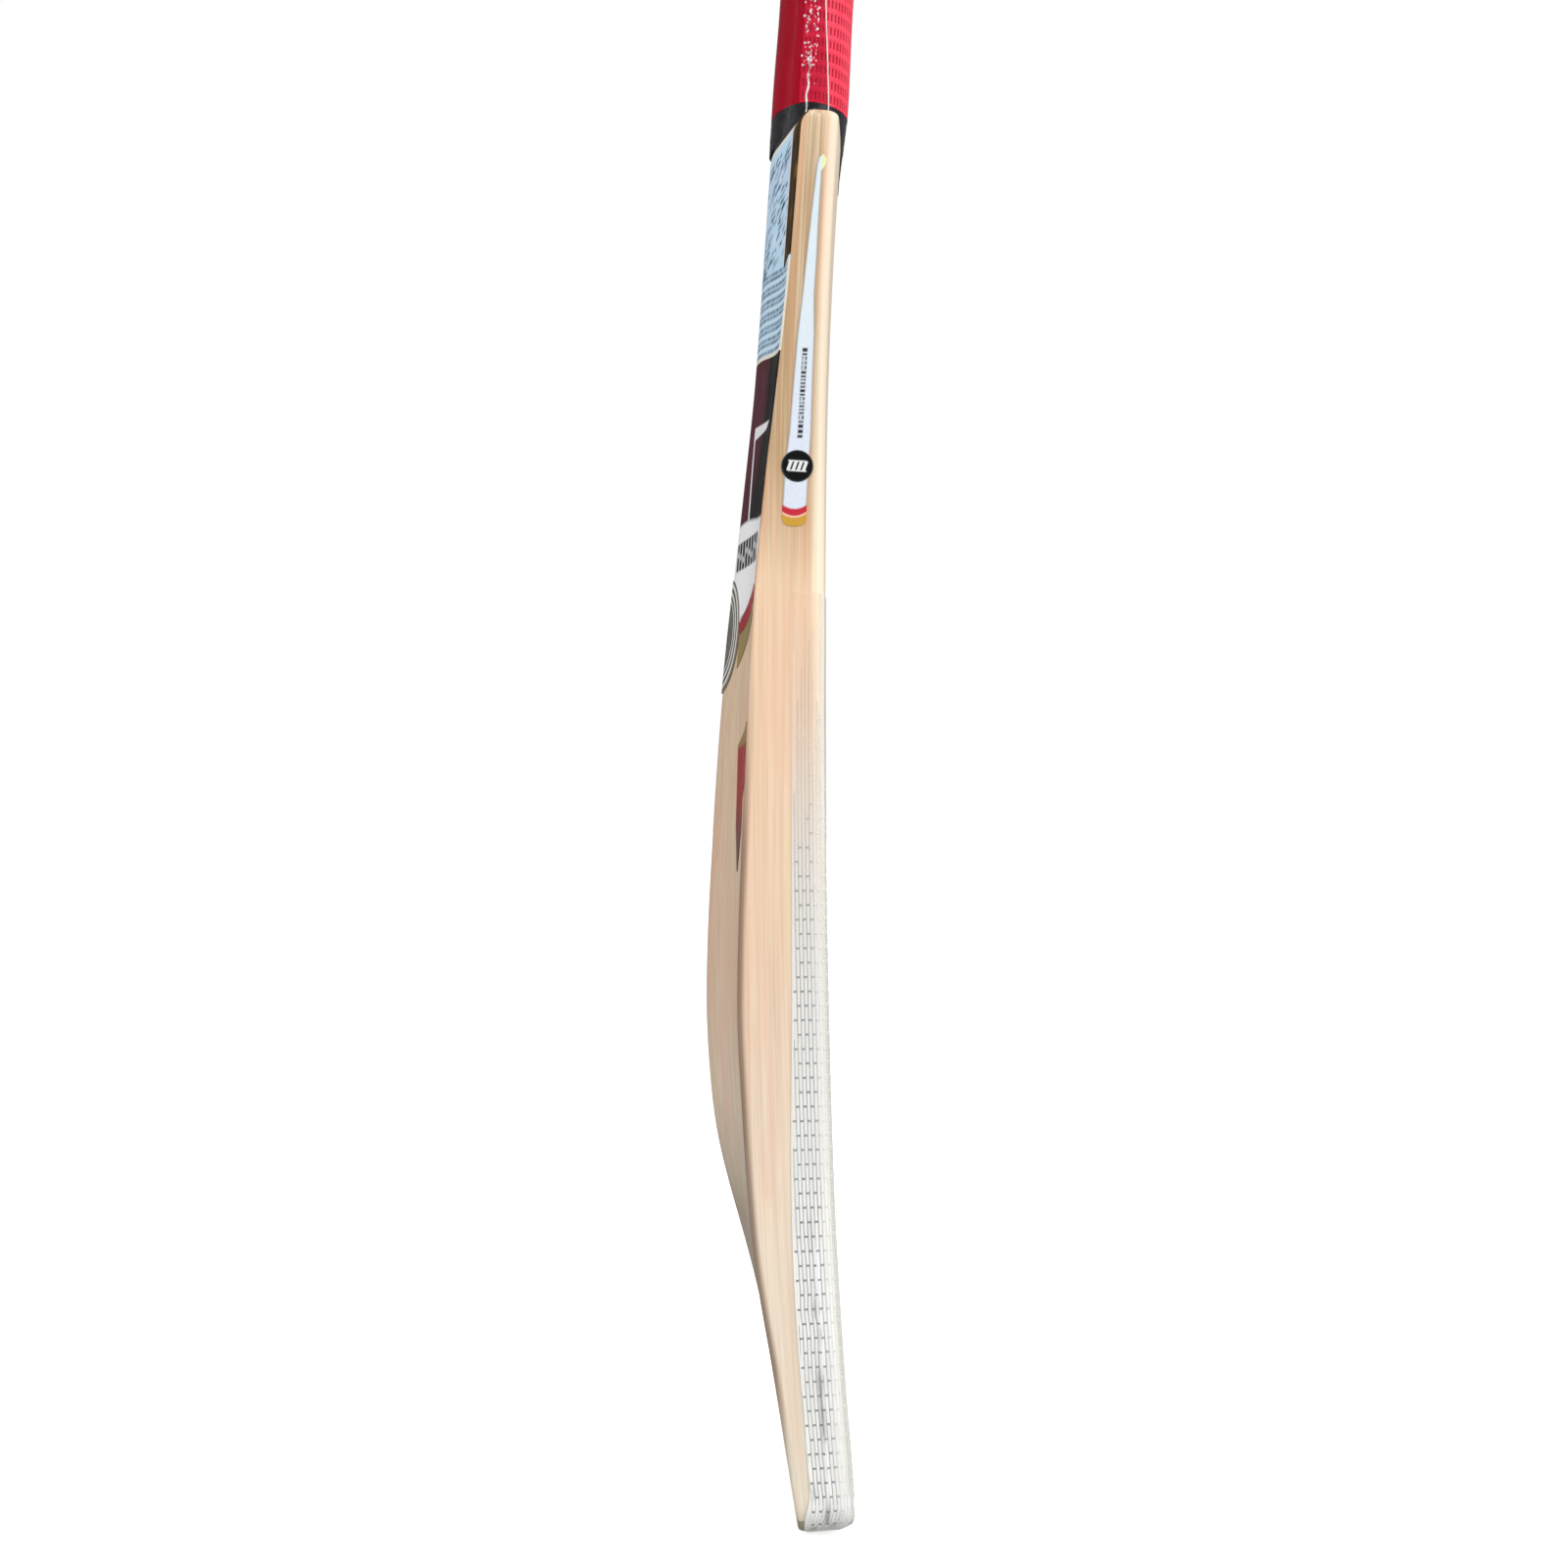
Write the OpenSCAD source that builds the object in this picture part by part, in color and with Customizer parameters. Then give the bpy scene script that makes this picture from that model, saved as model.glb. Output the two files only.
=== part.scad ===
// A full-size cricket bat: a willow blade, a cane handle spliced into it, its grip and its trim.
// The handle stands along Z, and the origin is at the middle of the rubber grip. The flat face
// looks to -Y, the spine to +Y, and the edges to -X and +X. Sizes are in millimetres.
// On the blade, s is the distance down from the shoulder, x the distance from the middle line,
// and u the depth behind the middle line of the face. A "side" is -1 for left and 1 for right.

/* [Blade] */
// Length of the blade, shoulder to toe
blade_length = 560; // [540:5:575]
// Width of the blade, edge to edge
blade_width = 108; // [100:1:108]
// Thickness at the highest point of the spine
spine_height = 51; // [44:0.5:60]
// Thickness of the edges where they are fullest
edge_height = 35; // [28:0.5:40]
// How far the bow carries the toe forward of the shoulder
bow_depth = 40; // [15:1:50]
// Crown of the face across its width, at the shoulder
face_crown = 2.6; // [1:0.1:4]
// How far the shoulders fall from the handle to the edges
shoulder_drop = 0.5; // [0:0.25:5]

/* [Handle] */
// Length of the rubber grip
grip_length = 272; // [255:1:290]
// Outer radius of the rubber grip
grip_radius = 15.6; // [15:0.1:17]
// Wall of the rubber grip
grip_wall = 2.3; // [1.5:0.1:2.5]
// How much the handle swells in radius towards the shoulder
handle_flare = 0.6; // [0.2:0.1:1.2]
// Height of the black neck band between the grip and the shoulder
neck_height = 17; // [8:1:25]
// Thickness of the twine wound round the cane
twine_thickness = 0.9; // [0.6:0.1:1.5]
// Length of the V splice, shoulder to tip
splice_length = 125; // [100:5:150]
// Width of the V splice at the shoulder
splice_width = 29; // [27:1:34]

/* [Trim] */
// Distance from the shoulder to the top of the facing tape
tape_start = 191; // [150:1:250]
// Distance that the facing tape wraps round onto each edge, where it is widest
tape_wrap = 16.5; // [12:0.5:17]
// Radius of the round badge on each edge
badge_radius = 6.25; // [4:0.25:7]
// Radius of the ring emblem on the spine
emblem_radius = 22.5; // [15:0.5:24]

/* [Hidden] */
$fn = 64;

// Handle: levels along Z, and radii
grip_top = grip_length / 2;
shoulder_z = -grip_length / 2 - neck_height;
cane_radius = grip_radius - grip_wall - twine_thickness;
cane_top = grip_top - 2;
twine_radius = cane_radius + twine_thickness;
twine_top = cane_top - 3;
grip_lip_radius = 9;
grip_round = 2;
film_wall = 0.15;
film_gap = 1;
// The handle starts to swell this far down, and is at its full radius at the end of the grip
flare_top = -90;
flare_bottom = -grip_length / 2 + 6;
face_y = -twine_radius - handle_flare;

// Handle: the cane is four layers deep and three slips wide, with rubber between the layers
LAYERS = ["front", "inner_front", "inner_back", "back"];
COLUMNS = ["left", "middle", "right"];
layer_pitch = 7;
column_pitch = 8.6;
insert_thickness = 1.2;
splice_tip = 3;
far = 60;

// Blade: shape along its length, as [share of the length, share of the full size]
EDGE_SHAPE = [
  [0, 0.41], [0.13, 0.475], [0.27, 0.675], [0.34, 0.778], [0.47, 0.885],
  [0.62, 1], [0.68, 0.99], [0.8, 0.91], [0.88, 0.775], [1, 0.6]
];
SPINE_SHAPE = [
  [0, 0.567], [0.1, 0.575], [0.18, 0.605], [0.25, 0.67], [0.4, 0.838], [0.5, 0.922],
  [0.62, 1], [0.68, 0.995], [0.74, 0.932], [0.83, 0.704], [0.88, 0.604], [1, 0.47]
];
BOW_SHAPE = [
  [0, 0], [0.1, 0.004], [0.2, 0.038], [0.3, 0.105], [0.45, 0.228], [0.6, 0.38], [0.8, 0.64], [1, 1]
];
CROWN_SHAPE = [[0, 1], [0.4, 0.7], [1, 0.6]];
WRAP_SHAPE = [[0, 0.7], [0.34, 0.73], [0.6, 0.81], [0.8, 1], [1, 0.95]];
// The power that scoops the flanks: 1 is flat from the edge to the spine, and more is hollow
SCOOP = [[0, 1.05], [0.2, 1.3], [0.4, 1.6], [0.75, 1.7], [0.88, 1.2], [1, 1]];
half_width = blade_width / 2;
spine_round = 11;
face_corner = 4.5;
ridge_corner = 1.5;
shoulder_corner = 5;
shoulder_round = 3;
shoulder_back_round = 8;
toe_corner = 14;
toe_face_round = 7;
toe_back_round = 4;
shoulder_fade = 60;

// Trim: skins lie this far off the wood, and are this thick
skin_gap = 0.05;
skin = 0.25;
tape_skin = 0.35;

function slip_name(layer, column) = str("cane_", layer, "_", column);

// ---- Curves ----

// The row of a table that t falls in
function row_of(t, table, i = 0) =
  i >= len(table) - 2 || t < table[i + 1][0] ? i : row_of(t, table, i + 1);

// The slope of a table at row i
function slope_at(table, i) =
  let (a = max(i - 1, 0), b = min(i + 1, len(table) - 1))
  (table[b][1] - table[a][1]) / (table[b][0] - table[a][0]);

// A smooth curve through the rows of a table, read at t
function smooth(t, table) =
  let (
    i = row_of(t, table),
    a = table[i],
    b = table[i + 1],
    h = b[0] - a[0],
    k = (t - a[0]) / h
  )
  (1 + 2 * k) * pow(1 - k, 2) * a[1] + k * pow(1 - k, 2) * h * slope_at(table, i)
  + k * k * (3 - 2 * k) * b[1] - k * k * (1 - k) * h * slope_at(table, i + 1);

function mix(a, b, k) = a + (b - a) * k;

// How far a rounded end draws in at distance d from it
function draw_in(d, r) = d >= r ? 0 : r - sqrt(r * r - pow(r - max(d, 0), 2));

// ---- Blade surface ----

function edge_size(s) = edge_height * smooth(s / blade_length, EDGE_SHAPE);
function spine_size(s) = spine_height * smooth(s / blade_length, SPINE_SHAPE);
function crown(s) = face_crown * smooth(s / blade_length, CROWN_SHAPE);

// Half the blade's width at s, with the rounded corners of the shoulder and the toe
function reach(s) =
  half_width - draw_in(s, shoulder_corner) - draw_in(blade_length - s, toe_corner);

// Depth of the face at s, x
function face_u(s, x) =
  crown(s) * pow(x / half_width, 2)
  + draw_in(s, shoulder_round) + draw_in(blade_length - s, toe_face_round);

// Share of the way from the spine to the edge, rounded over the spine
function from_spine(x) =
  (sqrt(x * x + spine_round * spine_round) - spine_round)
  / (sqrt(half_width * half_width + spine_round * spine_round) - spine_round);

// How much of the shoulder's back rounding there is at x: all of it by the edges, and little by the handle
function rounding(x) = 0.15 + 0.85 * pow(min(abs(x) / 45, 1), 2);

// Depth of the back at s, x
function back_u(s, x) =
  let (ridge = crown(s) + edge_size(s))
  ridge + (spine_size(s) - ridge) * pow(1 - min(from_spine(x), 1), smooth(s / blade_length, SCOOP))
  - draw_in(s, shoulder_back_round) * rounding(x) - draw_in(blade_length - s, toe_back_round);

// How far forward the bow has carried the face at s
function forward(s) = bow_depth * smooth(s / blade_length, BOW_SHAPE);

// How much lower a point at x lies than s says, where the shoulders fall away from the handle
function fall(s, x) =
  let (out = max(abs(x) - grip_radius, 0) / (half_width - grip_radius))
  shoulder_drop * pow(out, 1.5) * pow(max(1 - s / shoulder_fade, 0), 2);

// The point at s, x, u, in the part's own frame. Depth is square to the bowed face
function place(s, x, u) =
  let (d = s + fall(s, x), turn = atan((forward(d + 1) - forward(d - 1)) / 2))
  [x, face_y - forward(d) + u * cos(turn), shoulder_z - d - u * sin(turn)];

// One side's corner from the face round to the back, as [x, u]
function side_outline(s) =
  let (
    w = reach(s),
    front = face_u(s, w - face_corner),
    back = back_u(s, w - ridge_corner)
  )
  concat(
    [for (turn = [0:22.5:90])
      [w - face_corner * (1 - sin(turn)), front + face_corner * (1 - cos(turn))]],
    [[w, mix(front + face_corner, back - ridge_corner, 0.5)]],
    [for (turn = [0:45:90])
      [w - ridge_corner * (1 - cos(turn)), back - ridge_corner * (1 - sin(turn))]]
  );

// The blade's whole section at s: across the face from left to right, then back over the spine
function section(s) =
  let (w = reach(s), side = side_outline(s), n = len(side) - 1)
  concat(
    [for (k = [-3:3]) let (x = k / 4 * (w - face_corner)) [x, face_u(s, x)]],
    side,
    [for (k = [5:-1:-5]) let (x = k / 6 * (w - ridge_corner)) [x, back_u(s, x)]],
    [for (k = [n:-1:0]) [-side[k][0], side[k][1]]]
  );

function ring(s) = [for (p = section(s)) place(s, p[0], p[1])];

// The section has this many points. The one in the middle of the right edge, and half the count
section_count = 36;
right_middle = 12;
half_count = section_count / 2;

shoulder_stations = [for (turn = [0:22.5:90]) shoulder_corner * (1 - cos(turn))];
toe_stations = [for (turn = [90:-18:0]) blade_length - toe_corner * (1 - cos(turn))];
bay_count = 28;
bay = (blade_length - shoulder_corner - toe_corner) / bay_count;
mid_stations = [for (i = [1:bay_count - 1]) shoulder_corner + bay * i];
STATIONS = concat(shoulder_stations, mid_stations, toe_stations);
// The stations just past the tip of the splice
SPLICE_STATIONS = [for (s = STATIONS) if (s < splice_length + bay) s];

// An end of the blade: a strip of triangles between the face's half of a ring and the back's
function end_cap(first, flip) = [
  for (k = [0:half_count - 1])
    let (
      a = first + (right_middle - k + section_count) % section_count,
      b = first + (right_middle - k - 1 + section_count) % section_count,
      c = first + right_middle + k,
      d = first + right_middle + k + 1
    )
    each [
      for (f = [k < half_count - 1 ? [a, b, d] : [], k > 0 ? [a, d, c] : []])
        if (len(f) > 0) flip ? [f[0], f[2], f[1]] : f
    ]
];

// The closed solid through the blade's rings at a list of stations
module loft(stations) {
  n = section_count;
  last = len(stations) - 1;
  walls = [
    for (i = [0:last - 1], j = [0:n - 1])
      let (a = i * n + j, b = i * n + (j + 1) % n)
      each [[a, b, b + n], [a, b + n, a + n]]
  ];
  polyhedron(
    points = [for (s = stations) each ring(s)],
    faces = concat(walls, end_cap(0, true), end_cap(last * n, false))
  );
}

// ---- Skins: a thin sheet over a grid of points on the surface ----

// Columns run so that the sheet's outside is to the cross product of a column step and a row step
function unit(v) = v / norm(v);
function grid_normal(grid, i, j) =
  let (
    rows = len(grid) - 1,
    columns = len(grid[0]) - 1,
    down = grid[min(i + 1, rows)][j] - grid[max(i - 1, 0)][j],
    along = grid[i][min(j + 1, columns)] - grid[i][max(j - 1, 0)]
  )
  unit(cross(along, down));

function lifted(grid, gap) = [
  for (i = [0:len(grid) - 1], j = [0:len(grid[0]) - 1])
    grid[i][j] + gap * grid_normal(grid, i, j)
];

module sheet(grid, thickness = skin, gap = skin_gap) {
  rows = len(grid);
  n = len(grid[0]);
  top = rows * n;
  points = concat(lifted(grid, gap), lifted(grid, gap + thickness));
  cells = [for (i = [0:rows - 2], j = [0:n - 2]) i * n + j];
  inside = [for (a = cells) each [[a, a + 1, a + n + 1], [a, a + n + 1, a + n]]];
  outside = [for (f = inside) [f[0] + top, f[2] + top, f[1] + top]];
  rim = concat(
    [for (j = [0:n - 2]) j],
    [for (i = [0:rows - 2]) i * n + n - 1],
    [for (j = [n - 1:-1:1]) (rows - 1) * n + j],
    [for (i = [rows - 1:-1:1]) i * n]
  );
  walls = [
    for (k = [0:len(rim) - 1])
      let (a = rim[k], b = rim[(k + 1) % len(rim)])
      each [[a, a + top, b + top], [a, b + top, b]]
  ];
  polyhedron(points = points, faces = concat(inside, outside, walls));
}

// A skin on the back between s0 and s1. LEFT and RIGHT are tables of its two sides: [share, x]
module back_skin(s0, s1, left, right, rows = 10, columns = 10, gap = skin_gap) {
  sheet([
    for (i = [0:rows])
      let (k = i / rows, s = mix(s0, s1, k), a = smooth(k, left), b = smooth(k, right))
      [for (j = [0:columns]) let (x = mix(a, b, j / columns)) place(s, x, back_u(s, x))]
  ], skin, gap);
}

function negative(table) = [for (p = table) [p[0], -p[1]]];

// The same skin on one side only, between an inner and an outer table
module flank_skin(side, s0, s1, inner, outer, rows, columns) {
  if (side > 0) back_skin(s0, s1, inner, outer, rows, columns);
  else back_skin(s0, s1, negative(outer), negative(inner), rows, columns);
}

// A flat skin on one edge. The outline is a list of [s, depth behind the face's corner]
module edge_skin(side, outline, low, high) {
  points = [for (p = outline) let (q = place(p[0], 0, face_u(p[0], half_width) + p[1])) [q[1], q[2]]];
  translate([side * half_width + (side > 0 ? low : -high), 0, 0])
    rotate([90, 0, 90]) linear_extrude(high - low) polygon(points);
}

// ---- Blade and handle ----

module splice_prism() {
  w = splice_width / 2;
  tip = splice_tip / 2;
  translate([0, far, shoulder_z])
    rotate([90, 0, 0]) linear_extrude(2 * far)
      polygon([[-w, 0], [w, 0], [tip, -splice_length], [-tip, -splice_length]]);
}

module blade() {
  color("#e8cdb0") difference() {
    loft(STATIONS);
    splice_prism();
    translate([-splice_width / 2, -far, shoulder_z]) cube([splice_width, 2 * far, 1]);
  }
}

// The cane's whole outline: the round handle, and the wedge that fills the blade's splice
module cane_outline() {
  translate([0, 0, shoulder_z]) cylinder(r = cane_radius, h = cane_top - shoulder_z);
  intersection() {
    loft(SPLICE_STATIONS);
    splice_prism();
  }
}

// Low and high side of layer i, or of column i, of the cane
function layer_span(i) = [
  i == 0 ? -far : (i - 2) * layer_pitch + insert_thickness / 2,
  i == 3 ? far : (i - 1) * layer_pitch - insert_thickness / 2
];
function column_span(i) = [
  i == 0 ? -far : (i - 1.5) * column_pitch,
  i == 2 ? far : (i - 0.5) * column_pitch
];

module cane_slip(layer, column) {
  depth = layer_span(layer);
  width = column_span(column);
  height = cane_top - shoulder_z + splice_length;
  color("#d9b98a") intersection() {
    cane_outline();
    translate([width[0], depth[0], shoulder_z - splice_length])
      cube([width[1] - width[0], depth[1] - depth[0], height]);
  }
}

// A rubber strip between two layers of cane, i counted from the face
module rubber_insert(i) {
  height = cane_top - shoulder_z + splice_length;
  color("#3a3a3a") intersection() {
    cane_outline();
    translate([-far, (i - 1) * layer_pitch - insert_thickness / 2, shoulder_z - splice_length])
      cube([2 * far, insert_thickness, height]);
  }
}

module tube(outer, inner, bottom, top) {
  translate([0, 0, bottom]) difference() {
    cylinder(r = outer, h = top - bottom);
    translate([0, 0, -1]) cylinder(r = inner, h = top - bottom + 2);
  }
}

// The side of the handle from the bottom up, at radius r above the flare, as [radius, z]
function handle_side(r, bottom, top) = concat(
  [[r + handle_flare, bottom]],
  [for (k = [1:-0.25:0])
    [r + handle_flare * (1 - cos(180 * k)) / 2, mix(flare_top, flare_bottom, k)]],
  [[r, top]]
);

function backwards(list) = [for (i = [len(list) - 1:-1:0]) list[i]];

module twine_binding() {
  color("#e9dfc8") rotate_extrude() polygon(concat(
    handle_side(twine_radius, shoulder_z, twine_top),
    [[cane_radius, twine_top], [cane_radius, shoulder_z]]
  ));
}

// The grip's wall, with a lip that turns in over the end of the cane
module rubber_grip() {
  bottom = -grip_length / 2;
  round_top = [
    for (turn = [75:-15:0])
      [grip_radius - grip_round * (1 - sin(turn)), grip_top - grip_round * (1 - cos(turn))]
  ];
  color("#b3122c") rotate_extrude() polygon(concat(
    handle_side(grip_radius, bottom, grip_top - grip_round),
    round_top,
    [[grip_lip_radius, grip_top], [grip_lip_radius, cane_top], [twine_radius, cane_top]],
    backwards(handle_side(twine_radius, bottom, twine_top))
  ));
}

// The black band below the grip, with a short tongue down over the face
module neck_band() {
  tongue_length = 15;
  tongue_width = 12;
  tongue_thickness = 0.6;
  color("#26242a") {
    tube(grip_radius + handle_flare, twine_radius + handle_flare, shoulder_z, -grip_length / 2);
    translate([0, face_y, shoulder_z]) rotate([90, 0, 0]) linear_extrude(tongue_thickness) {
      translate([-tongue_width / 2, tongue_width / 2 - tongue_length])
        square([tongue_width, tongue_length - tongue_width / 2]);
      translate([0, tongue_width / 2 - tongue_length]) circle(r = tongue_width / 2);
    }
  }
}

module grip_film() {
  bottom = shoulder_z + film_gap;
  top = grip_top - grip_round;
  color("#f4d7dc", 0.4) rotate_extrude() polygon(concat(
    handle_side(grip_radius + film_wall, bottom, top),
    backwards(handle_side(grip_radius, bottom, top))
  ));
}

// ---- Tape and stickers ----

// The facing tape's section: from the right edge round the face to the left edge
function tape_row(s) =
  let (
    side = side_outline(s),
    w = reach(s),
    wrap = min(crown(s) + tape_wrap * smooth(s / blade_length, WRAP_SHAPE), side[6][1] - 1.5),
    arc = [for (k = [4:-1:0]) side[k]],
    right = concat([[w, wrap], [w, mix(wrap, side[4][1], 0.5)]], arc),
    n = len(right) - 1
  )
  concat(
    right,
    [for (k = [3:-1:-3]) let (x = k / 4 * (w - face_corner)) [x, face_u(s, x)]],
    [for (k = [n:-1:0]) [-right[k][0], right[k][1]]]
  );

// The tape folded under the toe: the same row drawn back to a line across the toe's flat end
function tape_fold_row(k) =
  let (row = tape_row(blade_length), line = row[0][1], last = len(row) - 1)
  [for (j = [0:last])
    let (p = row[j], step = 1 + min(j, last - j, 6))
    [p[0] - sign(p[0]) * step * 0.4 * k, mix(p[1], line - step * 0.2, k)]];

module facing_tape() {
  stations = [for (s = STATIONS) if (s > tape_start + 2) s];
  color("#dfe0dd", 0.8) sheet(concat(
    [for (s = concat([tape_start], stations)) [for (p = tape_row(s)) place(s, p[0], p[1])]],
    [for (k = [0.5, 1]) [for (p = tape_fold_row(k)) place(blade_length, p[0], p[1])]]
  ), tape_skin);
}

// The long sticker on an edge: a point at the top, widening down to a round end
module edge_sticker(side) {
  tip = [21, 5];
  front = [[75, 5.9], [95, 5.5], [134, 5.7], [160, 7.4]];
  back = [[160, 16.4], [134, 14.7], [75, 9.8]];
  round_end = [
    for (turn = [30:30:150]) [160 + 7 * sin(turn), mix(16.4, 7.4, (1 + cos(turn)) / 2)]
  ];
  color("#dfe6ea") edge_skin(side, concat([tip], front, round_end, back), skin_gap, skin);
}

module edge_badge(side) {
  middle = place(141.5, side * half_width, face_u(141.5, half_width) + 10.7);
  color("#1b1d1c") translate(middle) rotate([0, side * 90, 0])
    translate([0, 0, skin]) cylinder(r = badge_radius, h = skin);
}

module shoulder_label() {
  color("#99b7d4")
    back_skin(5, 93, [[0, -46], [0.2, -50], [1, -51.5]], [[0, 46], [0.2, 50], [1, 51.5]], 10, 14);
}

module main_sticker() {
  color("#34312d")
    back_skin(94, 188, [[0, -51.5], [0.8, -51], [1, -49]], [[0, 51.5], [0.8, 51], [1, 49]], 10, 14);
}

// A round emblem over the spine, on the lower end of the main sticker
module ring_emblem() {
  middle = 205;
  outline = [for (turn = [15:15:165])
    [(1 - cos(turn) / cos(15)) / 2, emblem_radius * sin(turn)]];
  color("#4a4a4a") back_skin(
    middle - emblem_radius * cos(15), middle + emblem_radius * cos(15),
    negative(outline), outline, 12, 10, skin_gap + skin
  );
}

// A slanted band on one flank, from near the ridge down to the emblem: its two ends at the
// ridge, and how much lower the same two corners are at the emblem
module swoosh(side, s0, s1, drop0, drop1) {
  outer = 51.5;
  inner = 24.5;
  rows = 4;
  columns = 8;
  sheet([
    for (i = [0:rows])
      [for (j = [0:columns])
        let (
          out = side > 0 ? j / columns : 1 - j / columns,
          x = side * mix(inner, outer, out),
          s = mix(s0, s1, i / rows) + mix(drop0, drop1, i / rows) * (1 - out)
        )
        place(s, x, back_u(s, x))]
  ]);
}

module red_swoosh(side) {
  color("#a5202f") swoosh(side, 189.5, 194.5, 10.5, 9.5);
}

module gold_swoosh(side) {
  color("#8a7644") swoosh(side, 195, 204.5, 9.5, 13.5);
}

// The blade-shaped patch inside the ridge of one flank, pointed at both ends
module flank_swoosh(side) {
  inner = [[0, 51.3], [0.15, 34], [0.4, 34.5], [0.7, 36], [1, 41]];
  outer = [[0, 51.7], [0.42, 51.5], [0.5, 46], [0.7, 47], [1, 42]];
  color("#7d2a2c") flank_skin(side, 241, 300, inner, outer, 16, 4);
}

blade();
for (i = [0:3], j = [0:2])
  cane_slip(i, j);
rubber_insert(0);  // rubber_insert_front
rubber_insert(1);  // rubber_insert_middle
rubber_insert(2);  // rubber_insert_back
twine_binding();
rubber_grip();
neck_band();
grip_film();
facing_tape();
edge_sticker(-1);  // edge_sticker_left
edge_sticker(1);  // edge_sticker_right
edge_badge(-1);  // edge_badge_left
edge_badge(1);  // edge_badge_right
shoulder_label();
main_sticker();
ring_emblem();
red_swoosh(-1);  // red_swoosh_left
red_swoosh(1);  // red_swoosh_right
gold_swoosh(-1);  // gold_swoosh_left
gold_swoosh(1);  // gold_swoosh_right
flank_swoosh(-1);  // flank_swoosh_left
flank_swoosh(1);  // flank_swoosh_right
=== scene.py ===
"""The looks of the cricket bat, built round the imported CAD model.

Shapes are worked out in millimetres, in the CAD's own frame: the handle stands along Z, the face
looks to -Y and the spine to +Y. On the blade, s is the distance down from the shoulder, x the
distance from the middle line, and u the depth behind the middle line of the face.
Each piece is a closed mesh. Its points carry "grain", the place in the wood as (x, u, s) in
metres, and a printed piece's points carry "paint", its printed colour.
"""

import math

import bmesh
import bpy
import numpy as np
from mathutils import Matrix, Vector


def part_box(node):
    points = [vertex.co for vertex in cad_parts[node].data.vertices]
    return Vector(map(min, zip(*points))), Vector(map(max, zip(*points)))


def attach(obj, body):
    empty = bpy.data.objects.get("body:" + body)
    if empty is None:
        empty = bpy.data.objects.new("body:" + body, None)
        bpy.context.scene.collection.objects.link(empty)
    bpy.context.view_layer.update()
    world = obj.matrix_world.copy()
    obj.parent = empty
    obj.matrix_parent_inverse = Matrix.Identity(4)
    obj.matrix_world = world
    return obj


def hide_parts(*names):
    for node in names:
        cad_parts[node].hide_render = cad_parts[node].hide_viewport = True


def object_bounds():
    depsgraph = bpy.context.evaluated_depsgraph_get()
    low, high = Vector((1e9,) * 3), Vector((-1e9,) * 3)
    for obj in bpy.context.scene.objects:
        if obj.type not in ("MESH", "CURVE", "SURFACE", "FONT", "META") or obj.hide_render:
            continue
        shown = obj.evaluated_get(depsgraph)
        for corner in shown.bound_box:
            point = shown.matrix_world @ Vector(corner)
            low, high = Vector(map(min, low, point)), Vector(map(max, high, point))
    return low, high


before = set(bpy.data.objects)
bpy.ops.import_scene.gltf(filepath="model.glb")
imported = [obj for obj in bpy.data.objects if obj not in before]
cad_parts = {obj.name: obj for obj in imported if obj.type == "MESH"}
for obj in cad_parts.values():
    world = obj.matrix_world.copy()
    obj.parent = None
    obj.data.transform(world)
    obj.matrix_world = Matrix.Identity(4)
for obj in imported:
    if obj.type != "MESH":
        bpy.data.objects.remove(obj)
cad_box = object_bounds()
MM = 0.001


def span(node, axis):
    """Low and high side of a CAD node along an axis, in millimetres."""
    low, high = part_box(node)
    return low[axis] / MM, high[axis] / MM


# ---- Sizes, in millimetres ----

SHOULDER_Z = span("twine_binding", 2)[0]
GRIP_BOTTOM, GRIP_TOP = span("rubber_grip", 2)
FLARED_RADIUS = span("rubber_grip", 0)[1]
HANDLE_FLARE = 0.6
GRIP_RADIUS = FLARED_RADIUS - HANDLE_FLARE
GRIP_WALL = 2.3
GRIP_LIP_RADIUS = 9
FLARE_TOP = -90
FLARE_BOTTOM = GRIP_BOTTOM + 6
HALF_WIDTH = span("blade", 0)[1]
BLADE_LENGTH = 560
SPINE_HEIGHT = 51
EDGE_HEIGHT = 35
BOW_DEPTH = 40
FACE_CROWN = 2.6
SHOULDER_DROP = 0.5
SHOULDER_FADE = 60
FACE_Y = -(GRIP_RADIUS - GRIP_WALL + HANDLE_FLARE)
SPINE_ROUND = 11
FACE_CORNER = 4.5
RIDGE_CORNER = 1.5
SHOULDER_CORNER = 5
SHOULDER_ROUND = 3
SHOULDER_BACK_ROUND = 8
TOE_CORNER = 14
TOE_FACE_ROUND = 7
TOE_BACK_ROUND = 4
SPLICE_LENGTH = 125
SPLICE_HALF = 14.5
SPLICE_TIP_HALF = 1.5
TAPE_START = 191
TAPE_WRAP = 16.5
SKIN_GAP = 0.05
SKIN = 0.25
TAPE_SKIN = 0.35

# Shape along the blade, as [share of the length, share of the full size]
EDGE_SHAPE = [
    [0, 0.41], [0.13, 0.475], [0.27, 0.675], [0.34, 0.778], [0.47, 0.885],
    [0.62, 1], [0.68, 0.99], [0.8, 0.91], [0.88, 0.775], [1, 0.6],
]
SPINE_SHAPE = [
    [0, 0.567], [0.1, 0.575], [0.18, 0.605], [0.25, 0.67], [0.4, 0.838], [0.5, 0.922],
    [0.62, 1], [0.68, 0.995], [0.74, 0.932], [0.83, 0.704], [0.88, 0.604], [1, 0.47],
]
BOW_SHAPE = [
    [0, 0], [0.1, 0.004], [0.2, 0.038], [0.3, 0.105],
    [0.45, 0.228], [0.6, 0.38], [0.8, 0.64], [1, 1],
]
CROWN_SHAPE = [[0, 1], [0.4, 0.7], [1, 0.6]]
WRAP_SHAPE = [[0, 0.7], [0.34, 0.73], [0.6, 0.81], [0.8, 1], [1, 0.95]]
SCOOP = [[0, 1.05], [0.2, 1.3], [0.4, 1.6], [0.75, 1.7], [0.88, 1.2], [1, 1]]


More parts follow.
